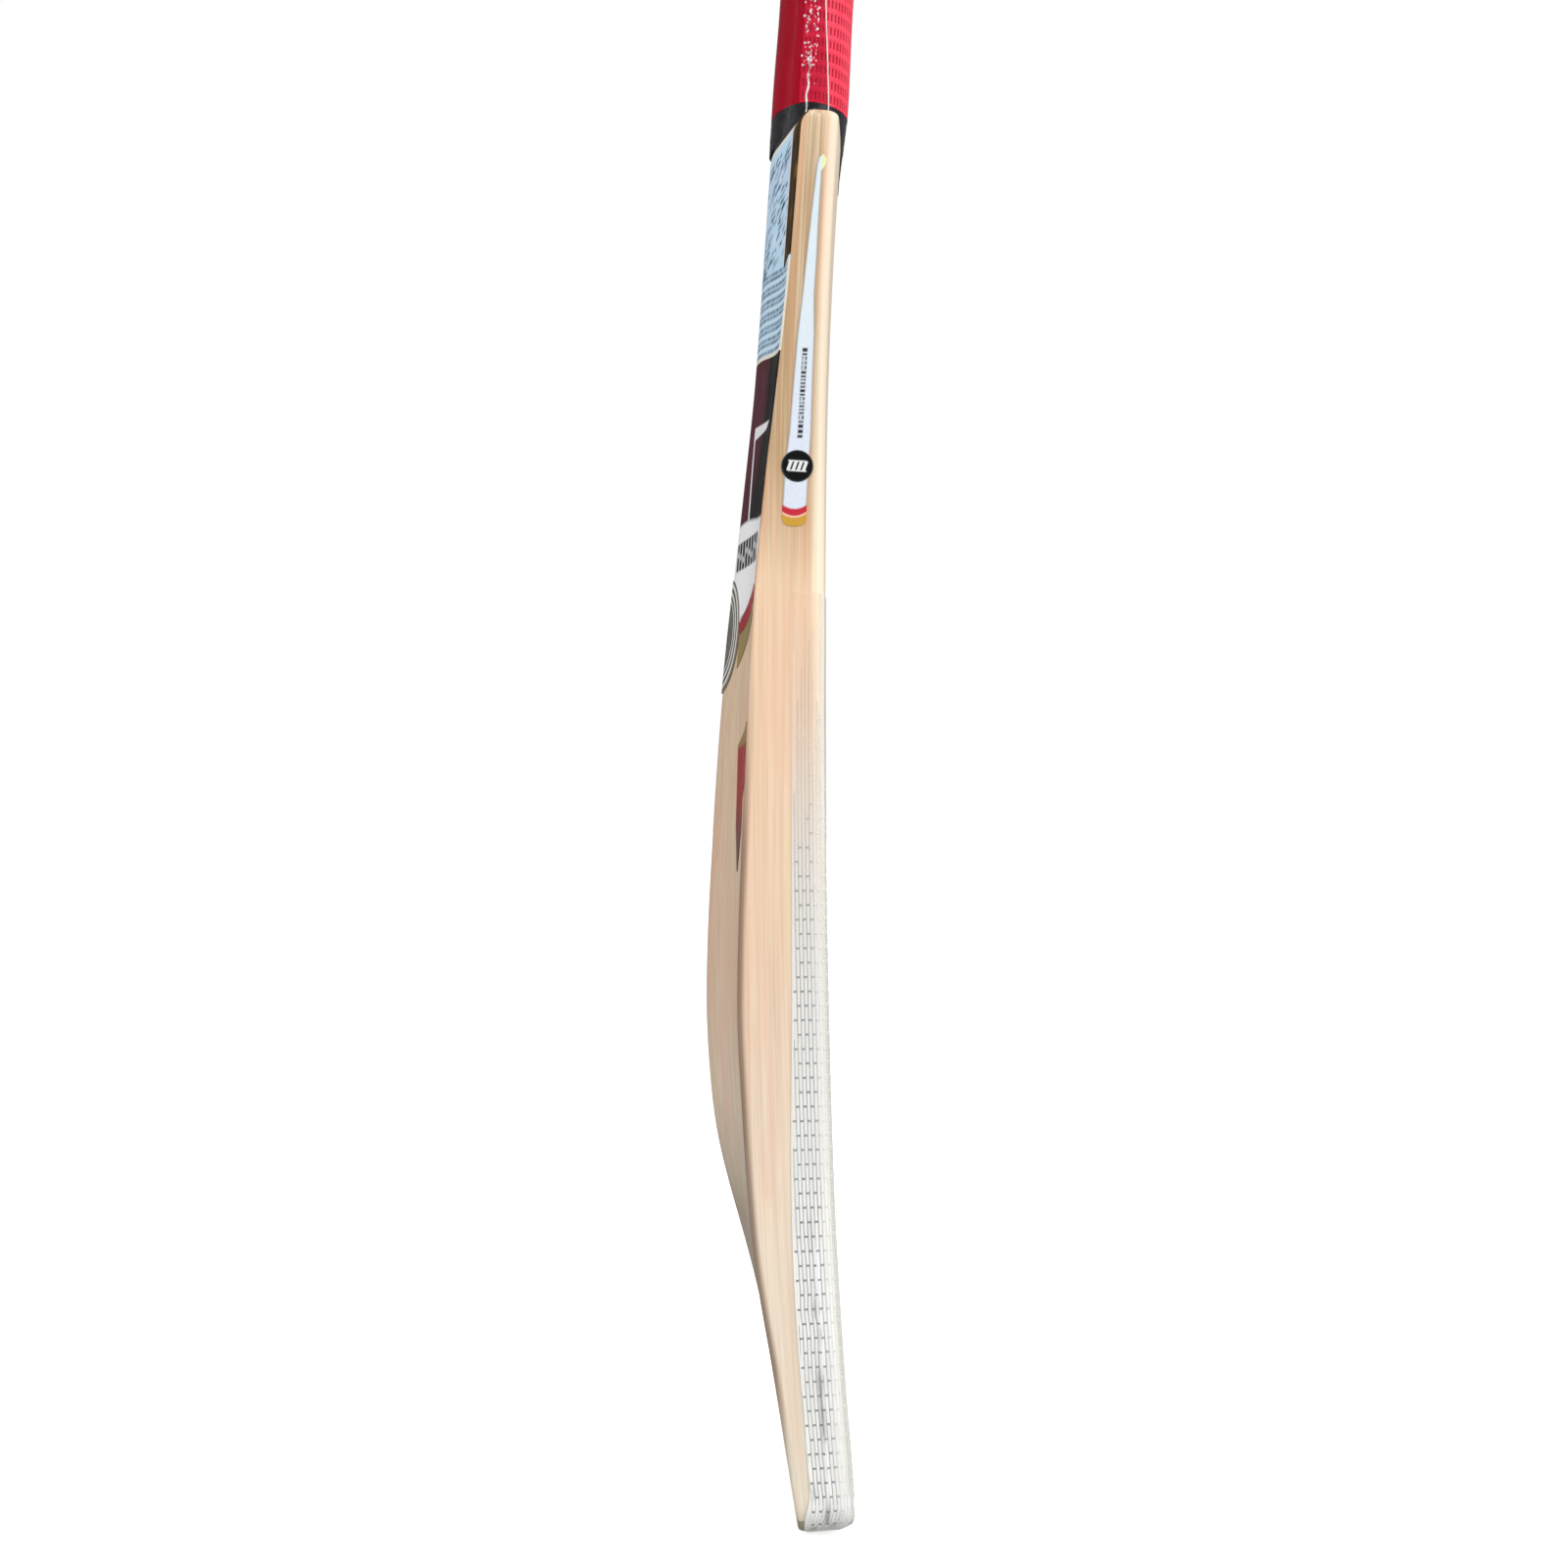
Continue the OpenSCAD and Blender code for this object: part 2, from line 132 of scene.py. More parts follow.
# ---- Curves ----

def smooth(t, table):
    """A smooth curve through the rows of a table, read at t."""
    rows = np.array(table, float)
    t = np.asarray(t, float)
    i = np.clip(np.searchsorted(rows[:, 0], t, side="right") - 1, 0, len(rows) - 2)

    def slope(i):
        a, b = np.maximum(i - 1, 0), np.minimum(i + 1, len(rows) - 1)
        return (rows[b, 1] - rows[a, 1]) / (rows[b, 0] - rows[a, 0])

    h = rows[i + 1, 0] - rows[i, 0]
    k = (t - rows[i, 0]) / h
    start = (1 + 2 * k) * (1 - k) ** 2 * rows[i, 1] + k * (1 - k) ** 2 * h * slope(i)
    end = k * k * (3 - 2 * k) * rows[i + 1, 1] - k * k * (1 - k) * h * slope(i + 1)
    return start + end


def mix(a, b, k):
    return a + (b - a) * k


def ease(v, a, b):
    """0 below a, 1 above b, and smooth between them."""
    k = np.clip((v - a) / (b - a), 0, 1)
    return k * k * (3 - 2 * k)


def draw_in(d, r):
    """How far a rounded end draws in at distance d from it."""
    return r - np.sqrt(np.maximum(r * r - (r - np.clip(d, 0, r)) ** 2, 0))


def turns(start, end, count):
    return np.radians(np.linspace(start, end, count))


def ripple(a, b, seed, waves=5):
    """A smooth seeded surface over two coordinates, from about -1 to 1."""
    draw = np.random.default_rng(seed)
    total = 0
    for _ in range(waves):
        heading = draw.uniform(0, math.tau)
        size = draw.uniform(0.5, 2.0)
        phase = draw.uniform(0, math.tau)
        total = total + np.sin(size * (a * math.cos(heading) + b * math.sin(heading)) + phase)
    return total / math.sqrt(waves * 2)


# ---- Blade surface ----

def edge_size(s):
    return EDGE_HEIGHT * smooth(s / BLADE_LENGTH, EDGE_SHAPE)


def spine_size(s):
    return SPINE_HEIGHT * smooth(s / BLADE_LENGTH, SPINE_SHAPE)


def crown(s):
    return FACE_CROWN * smooth(s / BLADE_LENGTH, CROWN_SHAPE)


def reach(s):
    """Half the blade's width at s, with the rounded corners of the shoulder and the toe."""
    return HALF_WIDTH - draw_in(s, SHOULDER_CORNER) - draw_in(BLADE_LENGTH - s, TOE_CORNER)


def face_u(s, x):
    return (crown(s) * (x / HALF_WIDTH) ** 2
            + draw_in(s, SHOULDER_ROUND) + draw_in(BLADE_LENGTH - s, TOE_FACE_ROUND))


def from_spine(x):
    rise = math.hypot(HALF_WIDTH, SPINE_ROUND) - SPINE_ROUND
    return np.minimum((np.hypot(x, SPINE_ROUND) - SPINE_ROUND) / rise, 1)


def rounding(x):
    """Share of the shoulder's back rounding at x: all of it by the edges, little by the handle."""
    return 0.15 + 0.85 * np.minimum(np.abs(x) / 45, 1) ** 2


def back_u(s, x):
    ridge = crown(s) + edge_size(s)
    rise = (spine_size(s) - ridge) * (1 - from_spine(x)) ** smooth(s / BLADE_LENGTH, SCOOP)
    top = draw_in(s, SHOULDER_BACK_ROUND) * rounding(x)
    return ridge + rise - top - draw_in(BLADE_LENGTH - s, TOE_BACK_ROUND)


def forward(s):
    return BOW_DEPTH * smooth(s / BLADE_LENGTH, BOW_SHAPE)


def fall(s, x):
    out = np.maximum(np.abs(x) - GRIP_RADIUS, 0) / (HALF_WIDTH - GRIP_RADIUS)
    return SHOULDER_DROP * out ** 1.5 * np.maximum(1 - s / SHOULDER_FADE, 0) ** 2


def place(s, x, u):
    """Points of the frame, in millimetres, at arrays of s, x and u."""
    s, x, u = np.broadcast_arrays(np.asarray(s, float), x, u)
    d = s + fall(s, x)
    turn = np.arctan((forward(d + 1) - forward(d - 1)) / 2)
    return np.stack([x, FACE_Y - forward(d) + u * np.cos(turn), SHOULDER_Z - d - u * np.sin(turn)], -1)


def on_back(s, x):
    """Grid of points on the back, over the ridge's rounding too, and each point's place in the wood."""
    s, x = np.broadcast_arrays(np.asarray(s, float), x)
    u = back_u(s, x) - draw_in(np.maximum(reach(s) - np.abs(x), 0), RIDGE_CORNER)
    return place(s, x, u), np.stack([x, u, s], -1) * MM


# ---- Meshes ----

def new_object(name, points, faces, attributes, materials, face_materials, sharp):
    """A mesh object in metres from points in millimetres. ATTRIBUTES is name: one value a point."""
    mesh = bpy.data.meshes.new(name)
    mesh.from_pydata((points * MM).tolist(), [], faces.tolist())
    for key, values in attributes.items():
        values = values.astype(np.float32)
        kind, field = (("FLOAT_COLOR", "color") if values.shape[1] == 4 else ("FLOAT_VECTOR", "vector"))
        mesh.attributes.new(key, kind, "POINT").data.foreach_set(field, values.ravel())
    for material in materials:
        mesh.materials.append(material)
    mesh.polygons.foreach_set("material_index", face_materials.astype(np.int32))
    piece = bpy.data.objects.new(name, mesh)
    bpy.context.scene.collection.objects.link(piece)
    tidy_mesh(mesh, sharp)
    return piece


def tidy_mesh(mesh, sharp):
    """Merges points that meet, drops faces with no area, turns faces outward and shades them."""
    work = bmesh.new()
    work.from_mesh(mesh)
    bmesh.ops.remove_doubles(work, verts=work.verts, dist=2e-6)
    bmesh.ops.dissolve_degenerate(work, edges=work.edges, dist=1e-7)
    loose = [v for v in work.verts if not v.link_faces]
    bmesh.ops.delete(work, geom=loose, context="VERTS")
    bmesh.ops.recalc_face_normals(work, faces=work.faces)
    work.to_mesh(mesh)
    work.free()
    mesh.shade_smooth()
    mesh.set_sharp_from_angle(angle=math.radians(sharp))


def grid_faces(rows, columns, first=0):
    a = (np.arange(rows - 1)[:, None] * columns + np.arange(columns - 1)[None, :]).ravel() + first
    return np.stack([a, a + 1, a + columns + 1, a + columns], -1)


def grid_normals(grid):
    down = np.gradient(grid, axis=0)
    along = np.gradient(grid, axis=1)
    normal = np.cross(along, down)
    return normal / np.maximum(np.linalg.norm(normal, axis=-1, keepdims=True), 1e-9)


class Patchwork:
    """Grids of points that together make one closed surface, with what each point carries."""

    def __init__(self, *keys):
        self.points, self.faces, self.slots = [], [], []
        self.carried = {key: [] for key in keys}
        self.count = 0

    def add(self, grid, slot=0, **carried):
        rows, columns = grid.shape[:2]
        faces = grid_faces(rows, columns, self.count)
        self.points.append(grid.reshape(-1, 3))
        self.faces.append(faces)
        self.slots.append(np.full(len(faces), slot))
        for key, parts in self.carried.items():
            values = carried.get(key, np.zeros((rows, columns, 3)))
            parts.append(np.asarray(values).reshape(rows * columns, -1))
        self.count += rows * columns

    def between(self, outer, inner, slot=0, **carried):
        """A closed piece between two grids of the same size."""
        self.add(outer, slot, **carried)
        self.add(inner, slot, **carried)
        for cut in ((slice(0, 1), slice(None)), (slice(-1, None), slice(None)),
                    (slice(None), slice(0, 1)), (slice(None), slice(-1, None))):
            side = np.stack([outer[cut].reshape(-1, 3), inner[cut].reshape(-1, 3)], 0)
            rim = {k: np.stack([np.asarray(v)[cut].reshape(side.shape[1], -1)] * 2, 0)
                   for k, v in carried.items()}
            self.add(side, slot, **rim)

    def shell(self, grid, gap, thickness, slot=0, bulge=0.0, **carried):
        """A closed sheet over a grid, GAP off it. BULGE lifts its outside further, point by point."""
        normal = grid_normals(grid)
        lift = np.broadcast_to(gap + thickness + bulge, grid.shape[:2])[..., None]
        self.between(grid + lift * normal, grid + gap * normal, slot, **carried)

    def build(self, name, materials, slot, node, sharp=38):
        """The piece that all the grids make together, with its finish and its CAD node."""
        carried = {k: np.concatenate(v) for k, v in self.carried.items()}
        piece = new_object(name, np.concatenate(self.points), np.concatenate(self.faces), carried,
                           materials, np.concatenate(self.slots), sharp)
        finish_piece(piece, slot, node)


def finish_piece(piece, slot, *nodes):
    """Rides the piece on the bat's one body and hides the CAD nodes it stands for. SLOT, the name of its
    finish, is not used.
    """
    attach(piece, "root")
    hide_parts(*nodes)


# ---- Colours and marks of the printed pieces ----

def linear(code):
    """A colour written as hex digits, as linear values."""
    parts = [int(code[i:i + 2], 16) / 255 for i in (0, 2, 4)]
    parts = [v / 12.92 if v <= 0.04045 else ((v + 0.055) / 1.055) ** 2.4 for v in parts]
    return (*parts, 1.0)


class Print:
    """Colour over a grid of two coordinates, in millimetres, laid on mask by mask."""

    def __init__(self, down, across, ground, soft=0.3):
        self.down, self.across = np.broadcast_arrays(np.asarray(down, float), across)
        self.soft = soft
        self.colour = np.empty(self.down.shape + (4,))
        self.colour[:] = linear(ground)

    def inside(self, *distances):
        """Mask of where all the signed distances are below 0, with a soft rim."""
        farthest = np.maximum.reduce(np.broadcast_arrays(*distances))
        return 1 - ease(farthest, -self.soft, self.soft)

    def lay(self, mask, ink, share=1.0):
        mask = np.clip(mask, 0, 1)[..., None] * share
        self.colour = self.colour * (1 - mask) + np.array(linear(ink)) * mask

    def block(self, down0, down1, across0, across1):
        """A rectangle's mask. Its sides may be arrays, so it may be slanted or curved."""
        return self.inside(down0 - self.down, self.down - down1,
                           across0 - self.across, self.across - across1)

    def ring(self, distance, radius, width):
        """A ring's mask, where DISTANCE is how far each point lies from its middle."""
        return self.inside(np.abs(distance - radius) - width / 2)


# ---- Materials ----

PER_BLADE = 1 / (BLADE_LENGTH * MM)
PER_CENTIMETRE = 100.0
RING_SPACING = 0.0058
TWINE_PITCH = 0.0009
HATCH_PITCH = 0.0014
# Colour of the painted shade beside the tape's creases.
FOLD_SHADE = "6c7174"


class Nodes:
    """A material's node tree, with short calls for the nodes used here."""

    def __init__(self, name, roughness=0.5, coat=0.0, specular=0.5, coat_roughness=0.1):
        self.material = bpy.data.materials.new(name)
        self.material.use_nodes = True
        self.tree = self.material.node_tree
        self.shader = self.tree.nodes["Principled BSDF"]
        self.to("Roughness", roughness)
        self.to("Coat Weight", coat)
        self.to("Coat Roughness", coat_roughness)
        self.to("Specular IOR Level", specular)

    def put(self, socket, value):
        if isinstance(value, bpy.types.NodeSocket):
            self.tree.links.new(value, socket)
        else:
            socket.default_value = value

    def to(self, name, value):
        self.put(self.shader.inputs[name], value)

    def node(self, kind, **inputs):
        made = self.tree.nodes.new(kind)
        for key, value in inputs.items():
            self.put(made.inputs[key], value)
        return made

    def own_place(self):
        """Each point's place in the object's own frame, in metres."""
        return self.node("ShaderNodeTexCoord").outputs["Object"]

    def carried(self, name, output="Vector"):
        """What the mesh's points carry under a name."""
        made = self.node("ShaderNodeAttribute")
        made.attribute_name = name
        return made.outputs[output]

    def noise(self, vector, scale, detail=2.0, rough=0.5, distortion=0.0):
        """Noise over a place that is scaled along each axis."""
        scaled = self.node("ShaderNodeVectorMath")
        scaled.operation = "MULTIPLY"
        self.put(scaled.inputs[0], vector)
        self.put(scaled.inputs[1], scale)
        made = self.node("ShaderNodeTexNoise", Vector=scaled.outputs[0], Scale=1.0, Detail=detail,
                         Roughness=rough, Distortion=distortion)
        return made.outputs["Fac"]

    def math(self, operation, *values):
        made = self.node("ShaderNodeMath")
        made.operation = operation
        for socket, value in zip(made.inputs, values):
            self.put(socket, value)
        return made.outputs[0]

    def times(self, a, b):
        return self.math("MULTIPLY", a, b)

    def plus(self, a, b):
        return self.math("ADD", a, b)

    def ramp(self, value, stops):
        """Value or colour by steps. A stop's colour is hex digits or a number."""
        made = self.node("ShaderNodeValToRGB")
        ramp = made.color_ramp
        while len(ramp.elements) < len(stops):
            ramp.elements.new(0.5)
        for element, (position, colour) in zip(ramp.elements, stops):
            element.position = position
            element.color = linear(colour) if isinstance(colour, str) else (colour, colour, colour, 1)
        self.put(made.inputs[0], value)
        return made.outputs[0]

    def rise(self, value, none, full, most=1.0):
        """A straight change from 0 at NONE to MOST at FULL, which may lie below NONE."""
        return self.ramp(value, sorted([(none, 0.0), (full, most)]))

    def blend(self, share, a, b, how="MIX"):
        made = self.node("ShaderNodeMix")
        made.data_type = "RGBA"
        made.blend_type = how
        self.put(made.inputs[0], share)
        self.put(made.inputs[6], linear(a) if isinstance(a, str) else a)
        self.put(made.inputs[7], linear(b) if isinstance(b, str) else b)
        return made.outputs[2]

    def parts(self, vector):
        made = self.node("ShaderNodeSeparateXYZ")
        self.put(made.inputs[0], vector)
        return made.outputs

    def bump(self, height, depth_mm, strength):
        made = self.node("ShaderNodeBump", Height=height, Strength=strength, Distance=depth_mm * MM)
        return made.outputs[0]


def willow():
    """Pale willow: lengthwise rings and fibres, tan and pink streaks near the shoulder, stains below, a
    painted highlight near the face, and painted shade along the lower ridges and on the back towards the toe.
    """
    m = Nodes("willow", roughness=0.42, specular=0.4, coat=0.1, coat_roughness=0.3)
    grain = m.carried("grain")
    x, u, s = m.parts(grain)
    off_middle = m.math("ABSOLUTE", x)
    along = m.times(s, PER_BLADE)

    curve = m.times(m.math("POWER", m.math("ABSOLUTE", m.math("SUBTRACT", u, 0.018)), 2.0), 9.0)
    drift = m.times(m.noise(grain, (14, 22, 3.2)), 0.016)
    phase = m.math("FRACT", m.times(m.plus(m.plus(x, curve), drift), 1 / RING_SPACING))
    late = m.ramp(phase, [(0.0, 0.0), (0.6, 0.1), (0.9, 1.0), (1.0, 0.0)])
    fibre = m.noise(grain, (1100, 1100, 11), 4.0, 0.65)
    streak = m.noise(grain, (760, 760, 8), 3.0, 0.55)
    vein = m.noise(grain, (1500, 1500, 16))
    band = m.noise(grain, (400, 360, 6))
    olive = m.noise(grain, (520, 480, 9))
    stain = m.noise(grain, (60, 95, 13), 3.0, 0.5, 0.6)

    colour = m.ramp(along, [
        (0.0, "dac5a6"), (0.06, "b59976"), (0.24, "bb9f7b"), (0.33, "ecceae"),
        (0.6, "e8ccb3"), (0.8, "eedfcb"), (1.0, "e8e4d2"),
    ])
    top = m.ramp(along, [(0.0, 1.0), (0.22, 0.95), (0.34, 0.3), (1.0, 0.2)])
    lower = m.math("MULTIPLY_ADD", top, -0.55, 0.6)
    for value, none, full, share, ink in [
        (streak, 0.46, 0.6, m.times(top, 0.6), "b07c48"),
        (streak, 0.46, 0.34, m.times(top, 0.4), "eddcbc"),
        (band, 0.5, 0.62, m.times(top, 0.65), "dc9a72"),
        (olive, 0.52, 0.66, m.times(top, 0.6), "a48f66"),
        (vein, 0.55, 0.7, m.times(top, 0.4), "86643f"),
        (stain, 0.48, 0.68, lower, "e9bb9e"),
        (stain, 0.45, 0.3, lower, "e2cfa6"),
    ]:
        colour = m.blend(m.times(m.rise(value, none, full), share), colour, ink)
    colour = m.blend(m.times(late, m.math("MULTIPLY_ADD", top, 0.22, -0.02)), colour, "a98560")
    hair = m.times(m.rise(fibre, 0.4, 0.72), m.math("MULTIPLY_ADD", top, 0.22, 0.03))
    colour = m.blend(hair, colour, "bd9a74")
    # Painted highlight: the wood is whitened near the face, over the face's corner.
    colour = m.blend(m.rise(u, 0.0072, 0.0042, 0.62), colour, "fff3dc")

    # Painted shade: the back turns greyer and darker towards the toe.
    back = m.times(m.math("GREATER_THAN", u, 0.012), m.math("LESS_THAN", off_middle, 0.0528))
    painted_toe_shade = m.times(m.ramp(along, [(0.7, 0.0), (0.75, 0.3), (0.785, 0.75), (0.87, 0.9)]), back)
    colour = m.blend(painted_toe_shade, colour, "b3aea6", "MULTIPLY")
    # Painted shade: a dark brown line along each ridge's corner, down the lower blade.
    near = m.times(m.parts(m.carried("rim"))[0], PER_CENTIMETRE)
    low = m.ramp(along, [(0.4, 0.0), (0.52, 1.0), (0.88, 1.0), (0.96, 0.0)])
    colour = m.blend(m.times(m.rise(near, 0.32, 0.14, 0.75), low), colour, "70523f")
    narrowing = m.times(s, (SPLICE_HALF - SPLICE_TIP_HALF) / SPLICE_LENGTH)
    glue = m.math("SUBTRACT", off_middle, m.math("SUBTRACT", SPLICE_HALF * MM, narrowing))
    seam = m.times(m.math("LESS_THAN", glue, 0.0004), m.math("LESS_THAN", s, SPLICE_LENGTH * MM))
    colour = m.blend(m.times(seam, 0.55), colour, "6f4c2c")
    m.to("Base Color", colour)
    m.to("Roughness", m.ramp(fibre, [(0.2, 0.38), (0.8, 0.52)]))
    m.to("Normal", m.bump(m.plus(fibre, m.times(late, 0.4)), 0.06, 0.6))
    return m.material


def cane(name, tone):
    """Cane slips: fine long pores along the handle, with a tone of their own for each column."""
    m = Nodes(name, roughness=0.55)
    spot = m.own_place()
    pores = m.noise(spot, (1100, 1100, 14), 3.0, 0.6)
    bands = m.noise(spot, (260, 260, 4))
    colour = m.blend(m.rise(bands, 0.35, 0.65), tone, "b98d56")
    m.to("Base Color", m.blend(m.rise(pores, 0.5, 0.7, 0.5), colour, "7a5730"))
    m.to("Normal", m.bump(pores, 0.08, 0.5))
    return m.material


def matte_rubber():
    m = Nodes("insert_rubber", roughness=0.8)
    speck = m.noise(m.own_place(), (1500, 1500, 1500))
    m.to("Base Color", m.ramp(speck, [(0.3, "161616"), (0.8, "2b2a29")]))
    m.to("Normal", m.bump(speck, 0.05, 0.4))
    return m.material


def wound_twine():
    """Turns of waxed twine, with the twist of its strands and painted shade between the turns."""
    m = Nodes("twine", roughness=0.75)
    spot = m.own_place()
    x, y, z = m.parts(spot)
    lead = m.times(m.math("ARCTAN2", y, x), 1 / math.tau)
    turn = m.plus(m.times(z, 1 / TWINE_PITCH), lead)
    height = m.math("ABSOLUTE", m.math("SINE", m.times(turn, math.pi)))
    strand = m.noise(spot, (1800, 1800, 900))
    # Painted shade: the twine is darker in the grooves between its turns.
    m.to("Base Color", m.blend(height, "9c8a66", m.ramp(strand, [(0.3, "d8ccab"), (0.7, "efe8d2")])))
    m.to("Normal", m.bump(m.plus(height, m.times(strand, 0.2)), 0.35, 0.8))
    return m.material


def grip_rubber():
    """Crimson rubber in the colours its points carry, with a fine matte grain."""
    m = Nodes("grip_rubber", roughness=0.42, specular=0.0)
    spot = m.carried("grain")
    cloud = m.noise(spot, (70, 70, 45), 3.0)
    speck = m.noise(spot, (2200, 2200, 2200))
    stain = m.rise(cloud, 0.35, 0.75, 0.4)
    m.to("Base Color", m.blend(stain, m.carried("paint", "Color"), "d0607a", "MULTIPLY"))
    m.to("Roughness", m.ramp(speck, [(0.3, 0.36), (0.8, 0.5)]))
    m.to("Normal", m.bump(speck, 0.04, 0.35))
    return m.material


def clear_film():
    """Shrink film: it only mirrors, more so at a glance, and is white only along its creases and where it is
    flecked, as painted highlights.
    """
    m = Nodes("clear_film", roughness=0.14)
    spot = m.carried("grain")
    # The grain's second value here is the share of painted highlight that make_film gives the film.
    crease = m.parts(spot)[1]
    normal = m.bump(m.noise(spot, (700, 700, 260), 4.0, 0.6), 0.2, 0.5)
    glance = m.node("ShaderNodeLayerWeight", Blend=0.5, Normal=normal).outputs["Facing"]
    gloss = m.math("MULTIPLY_ADD", m.math("POWER", glance, 4.0), 0.16, 0.001)
    m.to("Base Color", (0.97, 0.95, 0.97, 1))
    m.to("Metallic", m.math("SUBTRACT", 1.0, m.rise(crease, 0.1, 0.5)))
    m.to("Alpha", m.plus(m.times(crease, 0.85), gloss))
    m.to("Normal", normal)
    return m.material


def neck_plastic():
    m = Nodes("neck_band", roughness=0.3, specular=0.16)
    spot = m.carried("grain")
    wrap = m.noise(spot, (220, 220, 900), 3.0, 0.6)
    m.to("Base Color", m.blend(m.noise(spot, (90, 90, 90)), "060608", "14151d"))
    m.to("Roughness", m.ramp(wrap, [(0.3, 0.24), (0.8, 0.4)]))
    m.to("Normal", m.bump(wrap, 0.25, 0.6))
    return m.material


def folded(m, colour, alpha):
    """Gives a tape material its colour and alpha: painted shade darkens it, a painted highlight whitens it,
    and both make it opaque where the sheet folds.
    """
    dark, white, _ = m.parts(m.carried("fold"))
    m.to("Base Color", m.blend(white, m.blend(dark, colour, FOLD_SHADE), "ffffff"))
    m.to("Alpha", m.math("MAXIMUM", alpha, m.times(m.math("MAXIMUM", dark, white), 0.9)))


def tape_film():
    """The facing's clear sheet: clear at its top end, milky towards the toe, hatched by the face over a
    painted blue-grey shade, and whitened over the face's corner as a painted highlight.
    """
    m = Nodes("tape_film", roughness=0.22, specular=0.5)
    spot = m.carried("grain")
    _, u, s = m.parts(spot)
    along = m.times(s, PER_BLADE)
    behind = m.times(u, PER_CENTIMETRE)
    haze = m.noise(spot, (60, 60, 18), 4.0, 0.6)
    scuff = m.noise(spot, (1200, 1200, 160))
    milky = m.ramp(along, [(0.34, 0.08), (0.42, 0.25), (0.5, 0.5), (0.6, 0.66), (0.8, 0.8), (1.0, 0.85)])
    lines = m.math("SINE", m.times(s, math.tau / HATCH_PITCH))
    # Painted shade: under its hatch lines the face takes a blue-grey tint towards the toe.
    hatch_and_shade = m.times(m.rise(behind, 0.32, 0.2), m.rise(along, 0.5, 0.62))
    hatch_and_shade = m.times(hatch_and_shade, m.math("MULTIPLY_ADD", lines, 0.2, 0.28))
    colour = m.ramp(along, [(0.34, "fde6ca"), (0.45, "fcefe0"), (0.54, "fcf8f2"), (0.64, "fdfdfb")])
    # Painted highlight: the sheet is whitened and made milkier over the face's corner.
    corner = m.rise(behind, 0.48, 0.22, 0.85)
    colour = m.blend(hatch_and_shade, m.blend(corner, colour, "fffaee"), "94aab4")
    milky = m.math("MAXIMUM", milky, corner)
    folded(m, colour, m.times(milky, m.ramp(haze, [(0.25, 0.8), (0.75, 1.0)])))
    m.to("Normal", m.bump(m.plus(haze, m.times(scuff, 0.3)), 0.12, 0.4))
    return m.material


def tape_thread(name, tone, low, high, corner=0.0, by_face=0.0):
    """A fibre of the facing: faint at the top, strong towards the toe, weaker over the face's corner."""
    m = Nodes(name, roughness=0.4, specular=0.4)
    spot = m.carried("grain")
    _, u, s = m.parts(spot)
    worn = m.noise(spot, (160, 160, 40), 3.0)
    strength = m.ramp(m.times(s, PER_BLADE), [
        (0.34, low), (0.47, mix(low, high, 0.2)), (0.62, mix(low, high, 0.7)), (0.8, high)])
    bare = m.ramp(m.times(u, PER_CENTIMETRE), [
        (0.05, 1.0), (0.12, 1 - corner), (0.2, 1 - max(corner, by_face)),
        (0.32, 1 - corner), (0.55, 1 - corner), (0.68, 1.0)])
    shown = m.times(m.times(strength, bare), m.ramp(worn, [(0.3, 0.75), (0.6, 1.0)]))
    folded(m, m.blend(worn, linear(tone), "ffffff", "MULTIPLY"), shown)
    return m.material


def tape_tie(name):
    """The stitches across the threads: opaque, wood-coloured at the top end and grey towards the toe, and
    whitened over the face's corner as a painted highlight.
    """
    m = Nodes(name, roughness=0.45, specular=0.3)
    spot = m.carried("grain")
    _, u, s = m.parts(spot)
    worn = m.noise(spot, (160, 160, 40), 3.0)
    colour = m.ramp(m.times(s, PER_BLADE), [
        (0.34, "e4cfb5"), (0.42, "cbbfae"), (0.52, "a9a6a0"), (0.62, "939696"), (0.8, "80868a")])
    # Painted highlight: the ties are whitened over the face's corner.
    colour = m.blend(m.rise(m.times(u, PER_CENTIMETRE), 0.72, 0.5, 0.8), colour, "eeebe2")
    m.to("Base Color", m.blend(m.rise(worn, 0.6, 0.35, 0.15), colour, "ece8e0"))
    m.to("Normal", m.bump(worn, 0.1, 0.3))
    return m.material


def printed(name, roughness=0.32, coat=0.0, specular=0.3):
    """A printed sticker: its ink is what the points carry, under a thin gloss with tiny flaws."""
    m = Nodes(name, roughness=roughness, coat=coat, coat_roughness=0.12, specular=specular)
    spot = m.carried("grain")
    cloud = m.noise(spot, (120, 120, 90), 4.0, 0.6)
    fine = m.noise(spot, (1400, 1400, 700))
    ink = m.carried("paint", "Color")
    m.to("Base Color", m.blend(m.rise(fine, 0.5, 0.8, 0.1), ink, "6a6a6a", "MULTIPLY"))
    m.to("Roughness", m.ramp(cloud, [(0.3, roughness - 0.05), (0.8, roughness + 0.12)]))
    m.to("Normal", m.bump(m.plus(cloud, m.times(fine, 0.15)), 0.12, 0.35))
    return m.material


# ---- The blade ----

def blade_rows():
    """Distances down the blade, close together where its ends are rounded."""
    top = SHOULDER_CORNER * (1 - np.cos(turns(0, 90, 19)))
    toe = BLADE_LENGTH - TOE_CORNER * (1 - np.cos(turns(90, 0, 23)))
    middle = np.linspace(SHOULDER_CORNER, BLADE_LENGTH - TOE_CORNER, 270)[1:-1]
    rows = np.sort(np.concatenate([top, middle, toe, [SPLICE_LENGTH]]))
    return rows[np.concatenate([[True], np.diff(rows) > 0.15])]


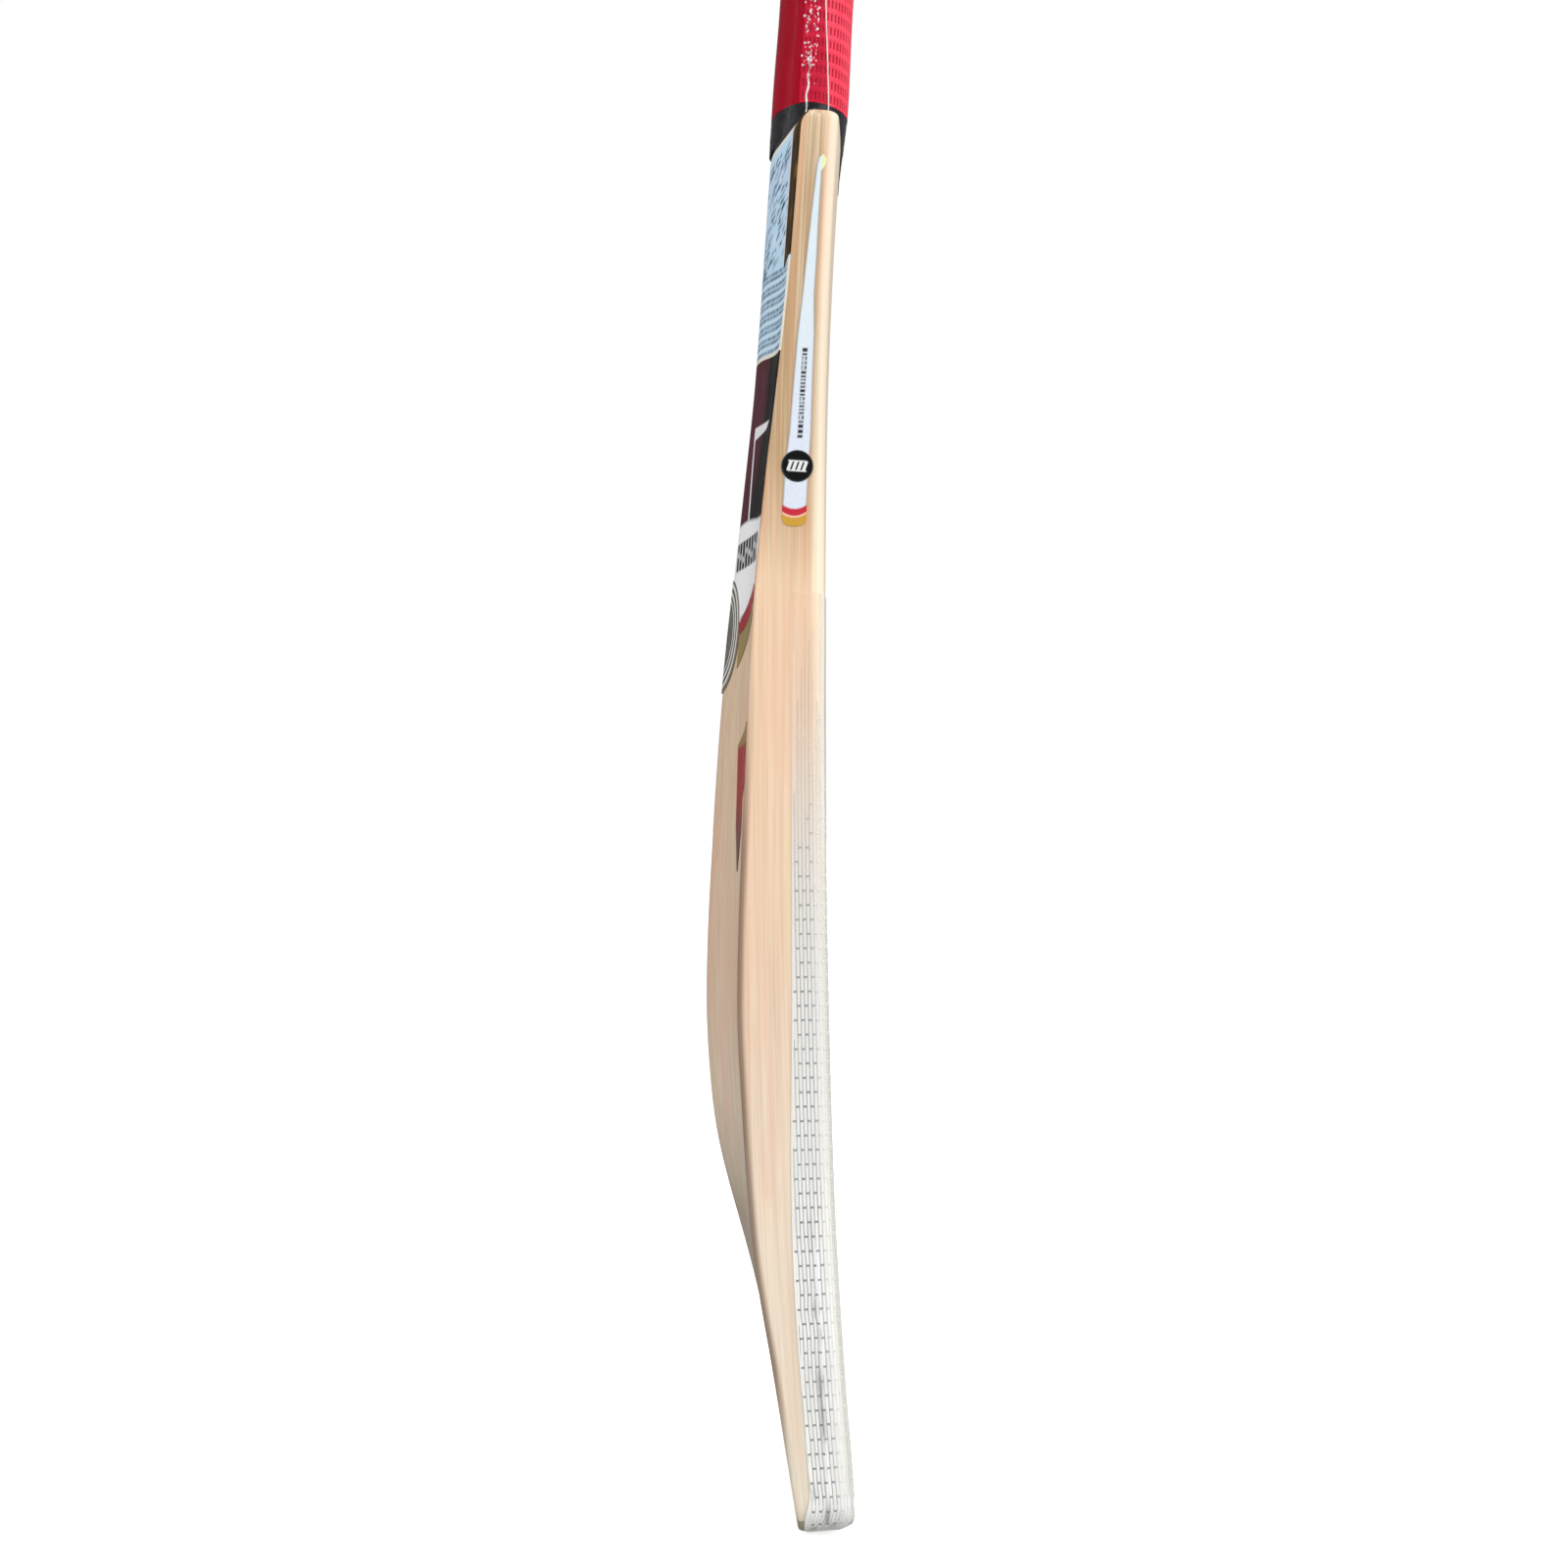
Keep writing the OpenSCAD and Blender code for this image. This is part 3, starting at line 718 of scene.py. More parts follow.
def side_columns(s, corner_steps=9):
    """One side's corner from the face round to the back, as x and u. The columns are steps."""
    w = reach(s)
    front = face_u(s, w - FACE_CORNER)
    back = back_u(s, w - RIDGE_CORNER)
    a = turns(0, 90, corner_steps)
    b = turns(0, 90, 5)
    face_x = w - FACE_CORNER * (1 - np.sin(a))
    face_d = front + FACE_CORNER * (1 - np.cos(a))
    ridge_x = w - RIDGE_CORNER * (1 - np.cos(b))
    ridge_d = back - RIDGE_CORNER * (1 - np.sin(b))
    return face_x, face_d, ridge_x, ridge_d


def blade_half(rows, side):
    """The face half and the back half of one side's section, as two grids of (x, u) with equal columns."""
    s = rows[:, None]
    face_x, face_d, ridge_x, ridge_d = side_columns(s)
    inner = np.where(s < SPLICE_LENGTH, mix(SPLICE_HALF, SPLICE_TIP_HALF, s / SPLICE_LENGTH), SPLICE_TIP_HALF)
    across = np.linspace(0, 1, 34)[None, :]
    face = mix(inner, face_x[:, :1], across)
    back = mix(inner, ridge_x[:, -1:], across)
    middle = (face_d[:, -1:] + ridge_d[:, :1]) / 2
    low_steps = np.linspace(0, 1, 5)[None, 1:]
    high_steps = np.linspace(0, 1, 9)[None, 1:]
    front_x = np.concatenate([face, face_x[:, 1:], np.repeat(face_x[:, -1:], 4, 1)], 1)
    front_u = np.concatenate([face_u(s, face), face_d[:, 1:], mix(face_d[:, -1:], middle, low_steps)], 1)
    back_x = np.concatenate([back, ridge_x[:, -2::-1], np.repeat(ridge_x[:, :1], 8, 1)], 1)
    back_d = np.concatenate([back_u(s, back), ridge_d[:, -2::-1], mix(ridge_d[:, :1], middle, high_steps)], 1)
    return side * front_x, front_u, side * back_x, back_d


def make_blade(material):
    """The willow: both halves, the strip between them below the splice, and the walls of the splice."""
    rows = blade_rows()
    s = rows[:, None]
    k = np.linspace(0, 1, 7)[:, None]
    work = Patchwork("grain", "rim")

    def put(row_s, x, u):
        row_s, x, u = np.broadcast_arrays(row_s, x, u)
        w = reach(row_s)
        rim = np.hypot(np.abs(x) - w, u - back_u(row_s, w - RIDGE_CORNER))
        grain = np.stack([x, u, row_s], -1) * MM
        work.add(place(row_s, x, u), grain=grain, rim=np.stack([rim, rim, rim], -1) * MM)

    for side in (-1, 1):
        front_x, front_u, back_x, back_d = blade_half(rows, side)
        put(s, front_x, front_u)
        put(s, back_x, back_d)
        for end in (0, -1):
            put(rows[end], mix(front_x[end], back_x[end], k), mix(front_u[end], back_d[end], k))
        cut = rows <= SPLICE_LENGTH + 1e-6
        wall_x = mix(front_x[cut, :1], back_x[cut, :1], k.T)
        put(s[cut], wall_x, mix(front_u[cut, :1], back_d[cut, :1], k.T))
    below = rows >= SPLICE_LENGTH - 1e-6
    x = np.linspace(-SPLICE_TIP_HALF, SPLICE_TIP_HALF, 3)[None, :]
    put(s[below], x, face_u(s[below], x))
    put(s[below], x, back_u(s[below], x))
    for end in (SPLICE_LENGTH, BLADE_LENGTH):
        put(end, x, mix(face_u(end, x), back_u(end, x), k))
    work.build("blade_willow", [material], "willow", "blade", sharp=50)


# ---- The handle ----

def handle_radius(z, radius):
    """Radius at height z of a sleeve that has RADIUS above the flare."""
    k = np.clip((FLARE_TOP - np.asarray(z, float)) / (FLARE_TOP - FLARE_BOTTOM), 0, 1)
    return radius + HANDLE_FLARE * (1 - np.cos(math.pi * k)) / 2


def round_grid(angle, z, radius):
    """Points at an angle from -Y towards -X, a height and a radius."""
    angle, z, radius = np.broadcast_arrays(np.asarray(angle, float), z, radius)
    return np.stack([-radius * np.sin(angle), -radius * np.cos(angle), z], -1)


def turned_grid(angle, outline):
    """An outline of (z, radius) turned round the handle's axis."""
    z, radius = np.array(outline).T[:, :, None]
    return round_grid(angle, z, radius)


GROOVE_PITCH = 5.6
GROOVE_LENGTH = 3.4
GROOVE_DEPTH = 0.45
GROOVE_STEP = math.tau / 56
SMOOTH_BACK = math.radians(73)
GRIP_END_ROUND = 2
GRIP_GAP = 0.05
NECK_LAP = 1.2
NECK_GAP = 0.15
TONGUE_LENGTH = 15.0
TONGUE_HALF = 7.0


def grooved(angle):
    """1 on the grooved part of the grip and 0 on the smooth strip up its back."""
    return ease(math.pi - np.abs(angle), SMOOTH_BACK - 0.02, SMOOTH_BACK + 0.02)


def groove_depth(angle, z):
    """Depth, 0 to 1, of the grip's short upright grooves, which leave a smooth strip up its back."""
    column = angle / GROOVE_STEP
    row = (z - GRIP_BOTTOM) / GROOVE_PITCH
    across = np.abs(column - np.round(column)) * GROOVE_STEP * GRIP_RADIUS
    down = np.abs(row - np.floor(row) - 0.5) * GROOVE_PITCH
    high = 1 - ease(across, 0.2, 0.55)
    long = 1 - ease(down, GROOVE_LENGTH / 2 - 0.3, GROOVE_LENGTH / 2 + 0.3)
    return high * long * grooved(angle)


def neck_taper(angle, z):
    """How far the neck draws in on the face's side, from the grip's end down to the tongue's end."""
    length = GRIP_BOTTOM - SHOULDER_Z + TONGUE_LENGTH
    k = np.clip((GRIP_BOTTOM - np.asarray(z, float)) / length, 0, 1)
    return 2.1 * k * np.maximum(np.cos(angle), 0) ** 2


def grip_sag(angle):
    """How much lower the grip's end lies than its level at the side: a few millimetres at the back."""
    return 3.2 * np.maximum(-np.cos(angle), 0) ** 1.5 + 0.9 * np.maximum(np.cos(angle), 0) ** 2


def grip_lean(z):
    """The angle of the film's front crease at height z, where the grip's painted lit front begins."""
    return np.radians(mix(62.0, 76.0, np.clip((z - GRIP_BOTTOM) / 42, 0, 1)))


def make_grip(material):
    """The rubber sleeve: its grooved outside, its rounded top lip, its inside and its two ends."""
    work = Patchwork("grain", "paint")
    last = int((math.pi - SMOOTH_BACK) / GROOVE_STEP)
    steps = np.array([-0.62, -0.34, 0, 0.34, 0.62]) / GRIP_RADIUS
    fine = (np.arange(-last, last + 1)[:, None] * GROOVE_STEP + steps).ravel()
    back = np.linspace(fine[-1], math.tau + fine[0], 48)[1:]
    angle = np.concatenate([fine, back])[None, :]
    rows = int((GRIP_TOP - 4 - GRIP_BOTTOM) / GROOVE_PITCH)
    parts = np.array([0, 0.85, 1.35, 4.25, 4.75])
    z = (GRIP_BOTTOM + np.arange(rows)[:, None] * GROOVE_PITCH + parts).ravel()
    z = np.append(z, GRIP_TOP - GRIP_END_ROUND)[:, None]
    turned = (angle + math.pi) % math.tau - math.pi
    ends = ease(z, GRIP_BOTTOM, GRIP_BOTTOM + 1.5) * (1 - ease(z, GRIP_TOP - 8, GRIP_TOP - 5))
    depth = groove_depth(turned, z) * ends
    radius = handle_radius(z, GRIP_RADIUS) - GRIP_GAP - GROOVE_DEPTH * depth
    sag = grip_sag(angle) * (1 - ease(z, GRIP_BOTTOM, GRIP_BOTTOM + 25))
    grid = round_grid(angle, z - sag, radius)
    rough = np.broadcast_to(grooved(turned), depth.shape)[..., None]
    # Painted light: the grooved front of the grip, towards the face, is a lighter red, as if lit from that
    # side.
    lit_front = 1 - ease(np.abs(turned), grip_lean(z) - 0.06, grip_lean(z) + 0.06)[..., None]
    # Painted shade: the grooves are a darker red, where shade would fall in them.
    groove_shade = np.clip(depth, 0, 1)[..., None]
    back_ink, side_ink, lit_front_ink, groove_shade_ink, plain = [
        np.array(linear(code)) for code in ("9c0b23", "c4263f", "f44d62", "a01c34", "c8142f")]
    ground = mix(back_ink, mix(side_ink, lit_front_ink, lit_front), rough)
    work.add(grid, grain=grid * MM, paint=mix(ground, groove_shade_ink, groove_shade))
    inner = handle_radius(GRIP_BOTTOM, GRIP_RADIUS - GRIP_WALL)
    bend = turns(0, 90, 7)
    lip = turned_grid(angle, np.stack([
        GRIP_TOP - GRIP_END_ROUND * (1 - np.sin(bend)),
        GRIP_RADIUS - GRIP_GAP - GRIP_END_ROUND * (1 - np.cos(bend))], -1))
    top = turned_grid(angle, [
        (GRIP_TOP, GRIP_RADIUS - GRIP_GAP - GRIP_END_ROUND), (GRIP_TOP, GRIP_LIP_RADIUS + 0.6),
        (GRIP_TOP - 0.2, GRIP_LIP_RADIUS + 0.2), (GRIP_TOP - 0.6, GRIP_LIP_RADIUS),
        (GRIP_TOP - GRIP_END_ROUND, GRIP_LIP_RADIUS)])
    inside = turned_grid(angle, [
        (GRIP_TOP - GRIP_END_ROUND, GRIP_LIP_RADIUS), (GRIP_TOP - GRIP_END_ROUND, GRIP_RADIUS - GRIP_WALL),
        (FLARE_TOP, GRIP_RADIUS - GRIP_WALL), (FLARE_BOTTOM, inner), (GRIP_BOTTOM, inner)])
    foot = np.stack([inside[-1], grid[0]], 0)
    for part in (lip, top, inside, foot):
        work.add(part, grain=part * MM, paint=np.broadcast_to(plain, part.shape[:2] + (4,)))
    work.build("rubber_grip_sleeve", [material], "grip_rubber", "rubber_grip", sharp=60)


def band_lap(out):
    """How far the neck band's tape laps down the shoulder's back, at distance OUT from the middle line."""
    return 0.9 + 2.2 * ease(out, 4, 20) * (1 - ease(out, 34, 49))


def make_neck_band(material):
    """The black band: a wrapped sleeve, its lap onto the shoulder, and a tongue tapering down the face."""
    work = Patchwork("grain")
    angle = np.linspace(-math.pi, math.pi, 181)[None, :]
    down = np.linspace(0, 1, 24)[:, None]
    z = mix(GRIP_BOTTOM - grip_sag(angle), SHOULDER_Z, down)
    wrap = 0.12 * ripple(angle * 9, z * 0.8, 5)
    middle = ease(z, SHOULDER_Z, SHOULDER_Z + 3) * (1 - ease(z, GRIP_BOTTOM - 6, GRIP_BOTTOM - 3))
    radius = FLARED_RADIUS - NECK_GAP + wrap * middle - neck_taper(angle, z)
    outer = round_grid(angle, z, radius)
    square = np.maximum(-np.cos(angle), 0) ** 6
    steps = np.linspace(0, 1, 7)[:, None]
    skirt = round_grid(angle, SHOULDER_Z - NECK_LAP * square * steps, radius[-1:])
    inner_radius = handle_radius(GRIP_BOTTOM, GRIP_RADIUS - GRIP_WALL)
    inner = round_grid(angle, np.linspace(SHOULDER_Z, GRIP_BOTTOM, 4)[:, None], inner_radius)
    under = np.stack([skirt[-1], inner[0]], 0)
    top = np.stack([inner[-1], outer[0]], 0)
    for part in (outer, skirt, under, inner, top):
        work.add(part, grain=part * MM)
    work.build("neck_band_sleeve", [material], "neck_band", "neck_band", sharp=50)

    work = Patchwork("grain")
    x = np.linspace(-47, 47, 121)[None, :]
    s = mix(0.25, band_lap(np.abs(x)), np.linspace(0, 1, 12)[:, None])
    grid, grain = on_back(s, x)
    work.shell(grid, SKIN_GAP + SKIN, SKIN, grain=grain)
    work.build("neck_band_lap", [material], "neck_band", "neck_band")

    work = Patchwork("grain")
    s = np.linspace(0, TONGUE_LENGTH, 40)[:, None]
    end = TONGUE_LENGTH - TONGUE_HALF
    half = np.sqrt(np.maximum(TONGUE_HALF**2 - np.maximum(s - end, 0) ** 2, 0.04))
    x = half * np.linspace(-1, 1, 25)[None, :]
    level = FLARED_RADIUS - NECK_GAP - neck_taper(0.0, SHOULDER_Z - s)
    front = np.sqrt(level**2 - x**2)
    face = place(s, x, face_u(s, x))
    outer = face.copy()
    outer[..., 1] = np.minimum(-front, face[..., 1] - 0.3)
    inner = face - np.array([0, SKIN_GAP, 0])
    work.between(outer, inner, grain=outer * MM)
    work.build("neck_band_tongue", [material], "neck_band", "neck_band")


def make_film(material):
    """The shrink film: pinched into two creases up one side, flecked, and puckered round the neck; where it
    is creased, puckered or flecked it carries a share of painted highlight.
    """
    work = Patchwork("grain")
    fine = np.radians(np.linspace(56, 120, 161))
    front = np.linspace(fine[-1] - math.tau, fine[0], 64)[:-1]
    angle = np.concatenate([front, fine])[None, :]
    bottom = SHOULDER_Z + 1
    top = GRIP_TOP - 2
    close = np.arange(bottom, GRIP_BOTTOM + 56, 0.4)
    z = np.concatenate([close, np.arange(GRIP_BOTTOM + 56, top, 1.2), [top]])[:, None]
    sway = 0.035 * ripple(z * 0.09, 0.0, 3) + 0.012 * ripple(z * 0.5, 0.0, 4)

    def crease(line, width, height, wander):
        return height * np.exp(-(((angle - line - sway * wander) / width) ** 2))

    broken = 0.55 + 0.45 * ripple(z * 0.35, 0.0, 8)
    low = 1 - ease(z, GRIP_BOTTOM + 16, GRIP_BOTTOM + 30)
    seam = crease(grip_lean(z), 0.015, 0.36, 0.15)
    second = crease(math.radians(94), 0.026, 0.4, 1.3) * np.clip(broken, 0.25, 1) * mix(0.15, 1.0, low)
    glint_flecks = 0
    draw = np.random.default_rng(15)
    for _ in range(800):
        at = math.radians(draw.uniform(83, 108))
        level = draw.uniform(GRIP_BOTTOM + 14, GRIP_TOP - 12)
        size = draw.uniform(0.17, 0.4)
        far = ((angle - at) * GRIP_RADIUS) ** 2 + (z - level) ** 2
        glint_flecks = np.maximum(glint_flecks, draw.uniform(0.3, 1.0) * np.exp(-far / size**2))
    between = np.exp(-(((angle - math.radians(88)) / 0.24) ** 2))
    pucker = 0.12 * between * np.clip(ripple(angle * 26, z * 0.9, 11, waves=8), 0, 1)
    neck = np.exp(-(((z - GRIP_BOTTOM - 8) / 12) ** 2)) * ease(angle, 0.9, 1.2)
    gathers = 0.1 * neck * np.clip(ripple(angle * 4, z * 2.6, 13, waves=7), 0, 1) ** 2
    lift = seam + second + pucker + gathers + 0.2 * glint_flecks
    fade = ease(z, bottom, bottom + 2) * (1 - ease(z, top - 3, top))
    grid = round_grid(angle, z, handle_radius(z, GRIP_RADIUS) + 0.02 - neck_taper(angle, z))
    # Painted highlights: white along the creases, puckers and gathers, and on the flecked spots.
    crease_glints = (seam + second) / 0.34 + 0.7 * (pucker + gathers) / 0.36
    white = np.clip(np.maximum(crease_glints, 1.9 * glint_flecks) - 0.24, 0, 1)
    carried = np.stack(np.broadcast_arrays(grid[..., 0] * MM, white, grid[..., 2] * MM), -1)
    work.shell(grid[:, ::-1], 0.0, 0.1, bulge=(lift * fade)[:, ::-1], grain=carried[:, ::-1])
    work.build("grip_film_sleeve", [material], "clear_film", "grip_film", sharp=80)


# ---- The facing tape ----

THREAD_PITCH = 1.45
TIE_PITCH = 11.2
CLOSE_ROWS = 420
SHEET_LEVEL = SKIN_GAP + TAPE_SKIN - 0.1


def tape_columns(s):
    """x and u across the tape, from the right edge round the face to the left edge, for rows of s."""
    face_x, face_d, _, ridge_d = side_columns(s, 17)
    w = reach(s)
    limit = ridge_d[:, :1] - 1.0
    wrap = np.minimum(crown(s) + TAPE_WRAP * smooth(s / BLADE_LENGTH, WRAP_SHAPE), limit)
    wrap = mix(wrap, limit, ease(s, BLADE_LENGTH - 20, BLADE_LENGTH - 4))
    flat = mix(wrap, face_d[:, -1:], np.linspace(0, 1, 9)[None, :-1])
    right_x = np.concatenate([np.repeat(w, 8, 1), face_x[:, ::-1]], 1)
    right_u = np.concatenate([flat, face_d[:, ::-1]], 1)
    x = mix(face_x[:, :1], -face_x[:, :1], np.linspace(0, 1, 61)[None, 1:-1])
    return (np.concatenate([right_x, x, -right_x[:, ::-1]], 1),
            np.concatenate([right_u, face_u(s, x), right_u[:, ::-1]], 1))


def tape_crease(s, x, u):
    """Distance behind the long crease up each edge, and how strong it is there."""
    on_edge = ease(np.abs(x), HALF_WIDTH - 3, HALF_WIDTH - 1)
    line = 8.2 + 0.9 * ripple(s * 0.05, 0.0, 21) + 0.4 * ripple(s * 0.35, 0.0, 22)
    return u - crown(s) - line, ease(s, 425, 455) * on_edge


def tape_lift(s, x, u):
    """How far the sheet stands off the blade: a long crease up each edge and puckers round the toe."""
    behind, strength = tape_crease(s, x, u)
    toe = ease(s, 515, 545)
    pucker = 0.5 * toe * np.maximum(ripple(x * 0.55 + s * 0.1, u * 0.9, 24, waves=8), 0)
    return 0.8 * np.exp(-((behind / 0.6) ** 2)) * strength + pucker


def tape_fold(s, x, u):
    """Shares of painted shade (dark) and painted highlight (white) beside the crease, and in the puckers
    round the toe.
    """
    behind, strength = tape_crease(s, x, u)
    toe = ease(s, 525, 550) * ripple(x * 1.1 + s * 0.3, u * 1.6, 26, waves=9)
    # Painted shade on one side of the crease and a painted highlight on the other; round the toe, patches of
    # painted shade and highlight over the puckers.
    dark = np.exp(-(((behind - 0.55) / 0.45) ** 2)) * strength
    white = np.exp(-(((behind + 0.35) / 0.5) ** 2)) * strength
    return np.stack([np.maximum(0.75 * dark, np.clip(toe - 0.55, 0, 0.7)),
                     np.maximum(white, np.clip(-toe, 0, 0.9)), np.zeros_like(dark)], -1)


def make_tape(film, thread, gap_line, tie):
    """The sheet, folded under the toe, with its threads and ties standing a little proud of it."""
    corner = BLADE_LENGTH - TOE_CORNER
    rows = np.concatenate([
        np.arange(TAPE_START, CLOSE_ROWS, 3.0), np.arange(CLOSE_ROWS, corner, 1.2),
        BLADE_LENGTH - TOE_CORNER * (1 - np.cos(turns(90, 0, 19)))])[:, None]
    x, u = tape_columns(rows)
    s = np.broadcast_to(rows, x.shape)
    columns = x.shape[1]
    centre = (columns - 1) / 2
    out = 1 - np.abs(np.arange(columns) - centre) / centre
    k = np.array([0.25, 0.5, 0.75, 1.0])[:, None]
    x = np.concatenate([x, x[-1] * (1 - 0.05 * k * out)])
    u = np.concatenate([u, mix(u[-1], u[-1, :1] - 1.2 * out, k)])
    s = np.concatenate([s, np.full((4, columns), float(BLADE_LENGTH))])
    work = Patchwork("grain", "fold")
    work.shell(place(s, x, u), SKIN_GAP, TAPE_SKIN - 0.1, bulge=tape_lift(s, x, u),
               grain=np.stack([x, u, s], -1) * MM, fold=tape_fold(s, x, u))
    add_threads(work, rows)
    work.build("facing_tape_sheet", [film, thread, gap_line, tie], "facing_tape", "facing_tape", sharp=50)


def add_threads(work, rows):
    """White threads down the sheet, dark lines between them, and short ties across them like brickwork."""
    rows = np.concatenate([rows[rows[:, 0] < CLOSE_ROWS][::2], rows[rows[:, 0] >= CLOSE_ROWS][::2]])
    x, u = tape_columns(rows)
    s = np.broadcast_to(rows, x.shape)
    grid = place(s, x, u)
    normal = grid_normals(grid)
    outer = grid + (SHEET_LEVEL + tape_lift(s, x, u))[..., None] * normal
    middle = (x.shape[1] - 1) // 2
    length = np.cumsum(np.linalg.norm(np.diff(outer, axis=1), axis=-1), axis=1)
    length = np.concatenate([np.zeros((len(rows), 1)), length], 1)
    length = length - length[:, middle:middle + 1]
    half = np.minimum(-length[:, 0], length[:, -1]) - 0.6
    sheet = {
        "point": outer, "normal": normal,
        "grain": np.stack([x, u, s], -1) * MM, "fold": tape_fold(s, x, u),
    }

    def along(key, v):
        """What the sheet has at distance v across it from its middle, row by row."""
        values = sheet[key]
        v = np.broadcast_to(v, len(rows))
        return np.stack([[np.interp(v[i], length[i], values[i, :, a]) for a in range(3)]
                         for i in range(len(rows))])

    def thread(v, width, height, slot, start=TAPE_START):
        wide_enough = half > np.abs(v) + width / 2 if np.ndim(v) == 0 else half > 0
        shown = np.nonzero(wide_enough & (rows[:, 0] >= start))[0]
        if len(shown) < 4:
            return None
        run = slice(shown[0], shown[-1] + 1)
        out = along("normal", v)
        out = out / np.linalg.norm(out, axis=1, keepdims=True)
        sides = [along("point", v + d) for d in (-width / 2, 0.0, width / 2)]
        top = np.stack([sides[0] - 0.04 * out, sides[1] + height * out, sides[2] - 0.04 * out], 1)[run]
        low = np.stack([side - 0.05 * out for side in sides], 1)[run]
        grain = np.repeat(along("grain", v)[run, None], 3, 1)
        fold = np.repeat(along("fold", v)[run, None], 3, 1)
        work.between(top, low, slot, grain=grain, fold=fold)
        return {"middle": sides[1][run], "side": sides[2][run], "out": out[run], "grain": grain[:, 0],
                "s": rows[run, 0]}

    count = int(np.floor(half.max() / THREAD_PITCH))
    draw = np.random.default_rng(37)
    for n in range(-count, count + 1):
        thread((n + 0.5) * THREAD_PITCH, 0.5, 0.03, 2, draw.uniform(TAPE_START, 250))
        made = thread(n * THREAD_PITCH, 0.78, 0.1, 1, draw.uniform(230, 310))
        if made:
            offset = TIE_PITCH / 2 if n % 2 else 0.0
            for tie_s in np.arange(TAPE_START + 4 + offset, BLADE_LENGTH - 6, TIE_PITCH):
                if made["s"][0] < tie_s < made["s"][-1]:
                    add_tie(work, made, tie_s)
    for side in (-1, 1):
        thread(side * (half + 0.1), 0.7, 0.1, 1)


def add_tie(work, made, tie_s):
    """A small raised block across one thread at distance tie_s down the blade."""
    middle, side, out, where = [
        np.array([np.interp(tie_s, made["s"], made[key][:, a]) for a in range(3)])
        for key in ("middle", "side", "out", "grain")]
    step = (side - middle) / np.linalg.norm(side - middle)
    down = np.cross(out, step)
    across = THREAD_PITCH * 0.4
    full = ease(tie_s, 225, 320)
    tall = mix(0.1, 0.42, full)
    height = mix(0.02, 0.17, full)
    corners = [[(-across, -tall), (across, -tall)], [(-across, tall), (across, tall)]]
    base = np.array([[middle + a * step + b * down for a, b in row] for row in corners])
    crest = np.array([[middle + 0.85 * a * step + 0.8 * b * down + height * out for a, b in row]
                      for row in corners])
    work.between(crest, base, 3, grain=np.tile(where, (2, 2, 1)))


# ---- Stickers ----

LABEL_TOP = 2.5
LABEL_HALF = 53.6
LABEL_STRIP = 43.8
LABEL_STRIP_END = 62
HOOK_TOP = 121
SILVER = "f4f2f3"
SILVER_FIELD = "fbfafb"
MAROON = "571d2a"
EMBLEM_MIDDLE = 203.5
EMBLEM_RADIUS = 23.8
EDGE_START = 19.5
EDGE_END = 160.5
EDGE_CAP = 4.4
EDGE_INK = "d3dde3"
BADGE_DOWN = 141.5
BADGE_DEPTH = 10.7
BADGE_RADIUS = 6.25
BADGE_ROUND = 0.35
BADGE_INK = "dfe3e2"


def back_sticker(art, material, slot, node, side=1):
    """A skin on the back with a print over s and x. SIDE is -1 if its x falls along its rows."""
    s, x, colour = [part[:, ::side] for part in (art.down, art.across, art.colour)]
    grid, grain = on_back(s, x)
    work = Patchwork("grain", "paint")
    work.shell(grid, SKIN_GAP, SKIN, grain=grain, paint=colour)
    work.build(node + "_print", [material], slot, node)


def label_end(out):
    """Where the label meets the panel below it, at distance OUT from the middle line."""
    return 90.5 + 6.0 * ease(out, 4, 54)


